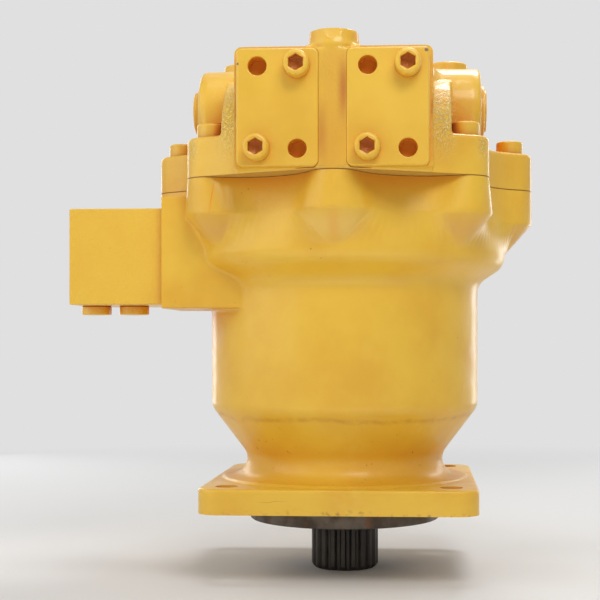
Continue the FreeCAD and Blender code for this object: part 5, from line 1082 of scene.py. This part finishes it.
def spline_ring(z, major):
    """Toothed section of the output spline at a level, with its tips cut to a radius."""
    step = 360.0 / SPLINE_TEETH
    flank = [(0.15, SPLINE_MAJOR_R), (0.19, SPLINE_MAJOR_R - 0.25), (0.345, SPLINE_MINOR_R + 0.25),
             (0.42, SPLINE_MINOR_R)]
    rising = [(-share, radius) for share, radius in reversed(flank)]
    corners = [(-0.5, SPLINE_MINOR_R)] + rising + [(0.0, SPLINE_MAJOR_R)] + flank
    points = []
    for k in range(SPLINE_TEETH):
        for share, radius in corners:
            points.append(tuple(polar(min(radius, major), step * (k + share), z)))
    return points


def output_spline():
    """Splined end of the shaft with chamfered tooth ends."""
    levels = [(SPLINE_END_Z, SPLINE_MAJOR_R - 3.2), (SPLINE_END_Z + 0.5, SPLINE_MAJOR_R - 2.4),
              (SPLINE_END_Z + 2.6, SPLINE_MAJOR_R - 0.4), (SPLINE_END_Z + 3.4, SPLINE_MAJOR_R),
              (SPLINE_START_Z + 0.5, SPLINE_MAJOR_R)]
    return loft("spline", [spline_ring(z, major) for z, major in levels])


def drive_shaft(steel):
    """Shaft with its output spline, bearing journals and block spline."""
    body = lathe("shaft", [(SPLINE_MINOR_R, SPLINE_START_Z), (JOURNAL_R - 2, SPLINE_START_Z + 2),
                           (JOURNAL_R, SPLINE_START_Z + 4), (JOURNAL_R, 43), (36, 43), (36, 49.5),
                           (24, 49.5), (24, 161.5), (22.5, 161.5), (22.5, 163.5), (24, 163.5),
                           (24, 250.5), (17.5, 251), (17.5, 276), (16, 277.5)], 96)
    return finished(merged("drive_shaft_skin", [output_spline(), body]), steel,
                    ["drive_shaft"], "rotor")


def lamp(name, place, target, width, height, watts):
    """Rectangular soft lamp, placed in millimetres."""
    data = bpy.data.lights.new(name, "AREA")
    data.shape = "RECTANGLE"
    data.size = width * MM
    data.size_y = height * MM
    data.energy = watts
    obj = linked(name, data)
    obj.location = Vector(place) * MM
    obj.rotation_mode = "QUATERNION"
    obj.rotation_quaternion = (Vector(target) - Vector(place)).to_track_quat("-Z", "Y")
    obj.visible_camera = False


def looked_at(tree):
    """1 for camera, glossy and transmission rays, 0 for the rays that light the object."""
    path = tree.nodes.new("ShaderNodeLightPath")
    result = path.outputs["Is Camera Ray"]
    for name in ("Is Glossy Ray", "Is Transmission Ray"):
        larger = tree.nodes.new("ShaderNodeMath")
        larger.operation = "MAXIMUM"
        tree.links.new(result, larger.inputs[0])
        tree.links.new(path.outputs[name], larger.inputs[1])
        result = larger.outputs[0]
    return result


def studio():
    """Pale backdrop and soft lamps."""
    world = bpy.data.worlds.new("studio")
    bpy.context.scene.world = world
    world.use_nodes = True
    tree = world.node_tree
    background = tree.nodes["Background"]
    background.inputs["Color"].default_value = (1.0, 0.99, 0.97, 1)
    background.inputs["Strength"].default_value = WORLD_LEVEL
    seen = tree.nodes.new("ShaderNodeBackground")
    seen.inputs["Color"].default_value = (*BACKDROP, 1)
    choice = tree.nodes.new("ShaderNodeMixShader")
    tree.links.new(looked_at(tree), choice.inputs[0])
    tree.links.new(background.outputs[0], choice.inputs[1])
    tree.links.new(seen.outputs[0], choice.inputs[2])
    tree.links.new(choice.outputs[0], tree.nodes["World Output"].inputs["Surface"])
    for name, setting in LAMPS.items():
        lamp(name, *setting)


def floor():
    """Pale floor under the shaft's end that fades into the backdrop."""
    n = Nodes("floor")
    radius = n.node("ShaderNodeVectorMath", {0: n.place}, operation="LENGTH").outputs["Value"]
    seen = looked_at(n.tree)
    n.put(Base_Color=n.mix(seen, FLOOR_LIT, FLOOR_SEEN), Roughness=0.9)
    glow = n.node("ShaderNodeEmission", {"Color": BACKDROP})
    mixed = n.node("ShaderNodeMixShader", {0: n.times(n.fade(radius, 0.35, 1.3), seen),
                                           1: n.shader.outputs[0], 2: glow.outputs[0]})
    n.tree.links.new(mixed.outputs[0], n.tree.nodes["Material Output"].inputs["Surface"])
    obj = new_object("floor", [(9000 * x, 9000 * y, SPLINE_END_Z) for x, y in CORNERS], [(0, 1, 2, 3)])
    obj.data.materials.append(n.material)


def camera():
    """Camera at the photograph's viewing angle."""
    data = bpy.data.cameras.new("camera")
    data.sensor_width = 36.0
    data.lens = CAMERA_LENS
    data.shift_x = PICTURE_SHIFT[0] / PICTURE_SIZE
    data.shift_y = PICTURE_SHIFT[1] / PICTURE_SIZE
    obj = linked("camera", data)
    obj.location = polar(CAMERA_DISTANCE, CAMERA_AZIMUTH - 90, CAMERA_HEIGHT) * MM
    obj.rotation_euler = (math.radians(90), 0, math.radians(CAMERA_AZIMUTH))
    bpy.context.scene.camera = obj


def build():
    """Every visible piece with its finish."""
    cast = casing_paint()
    cover = cover_paint()
    nicks = [((-65.6, -150.5, 319), 1.2, GRIME_AND_SHADE), ((65.0, -150.8, 327.5), 1.8, GRIME_AND_SHADE)]
    plates = machined_paint("plate_paint_ports", 0.5, patches=0.5, marks=nicks)
    block = machined_paint("plate_paint_block", 3.2)
    screws = machined_paint("fastener_paint_heads", 0.5, socket=0.95)
    finishes = dress_nodes(screws)
    casing(cast)
    pilot()
    rear_cover(cover)
    for side in (-1, 1):
        port_plate(side, plates)
        relief_head(side, screws)
        makeup_head(side, screws)
    cover_screws(screws)
    port_screws(screws)
    valve_block(block)
    valve_plugs(screws)
    drain(screws)
    drive_shaft(finishes["shaft_steel"])


build()
floor()
studio()
camera()
bpy.context.scene.view_settings.view_transform = "Standard"
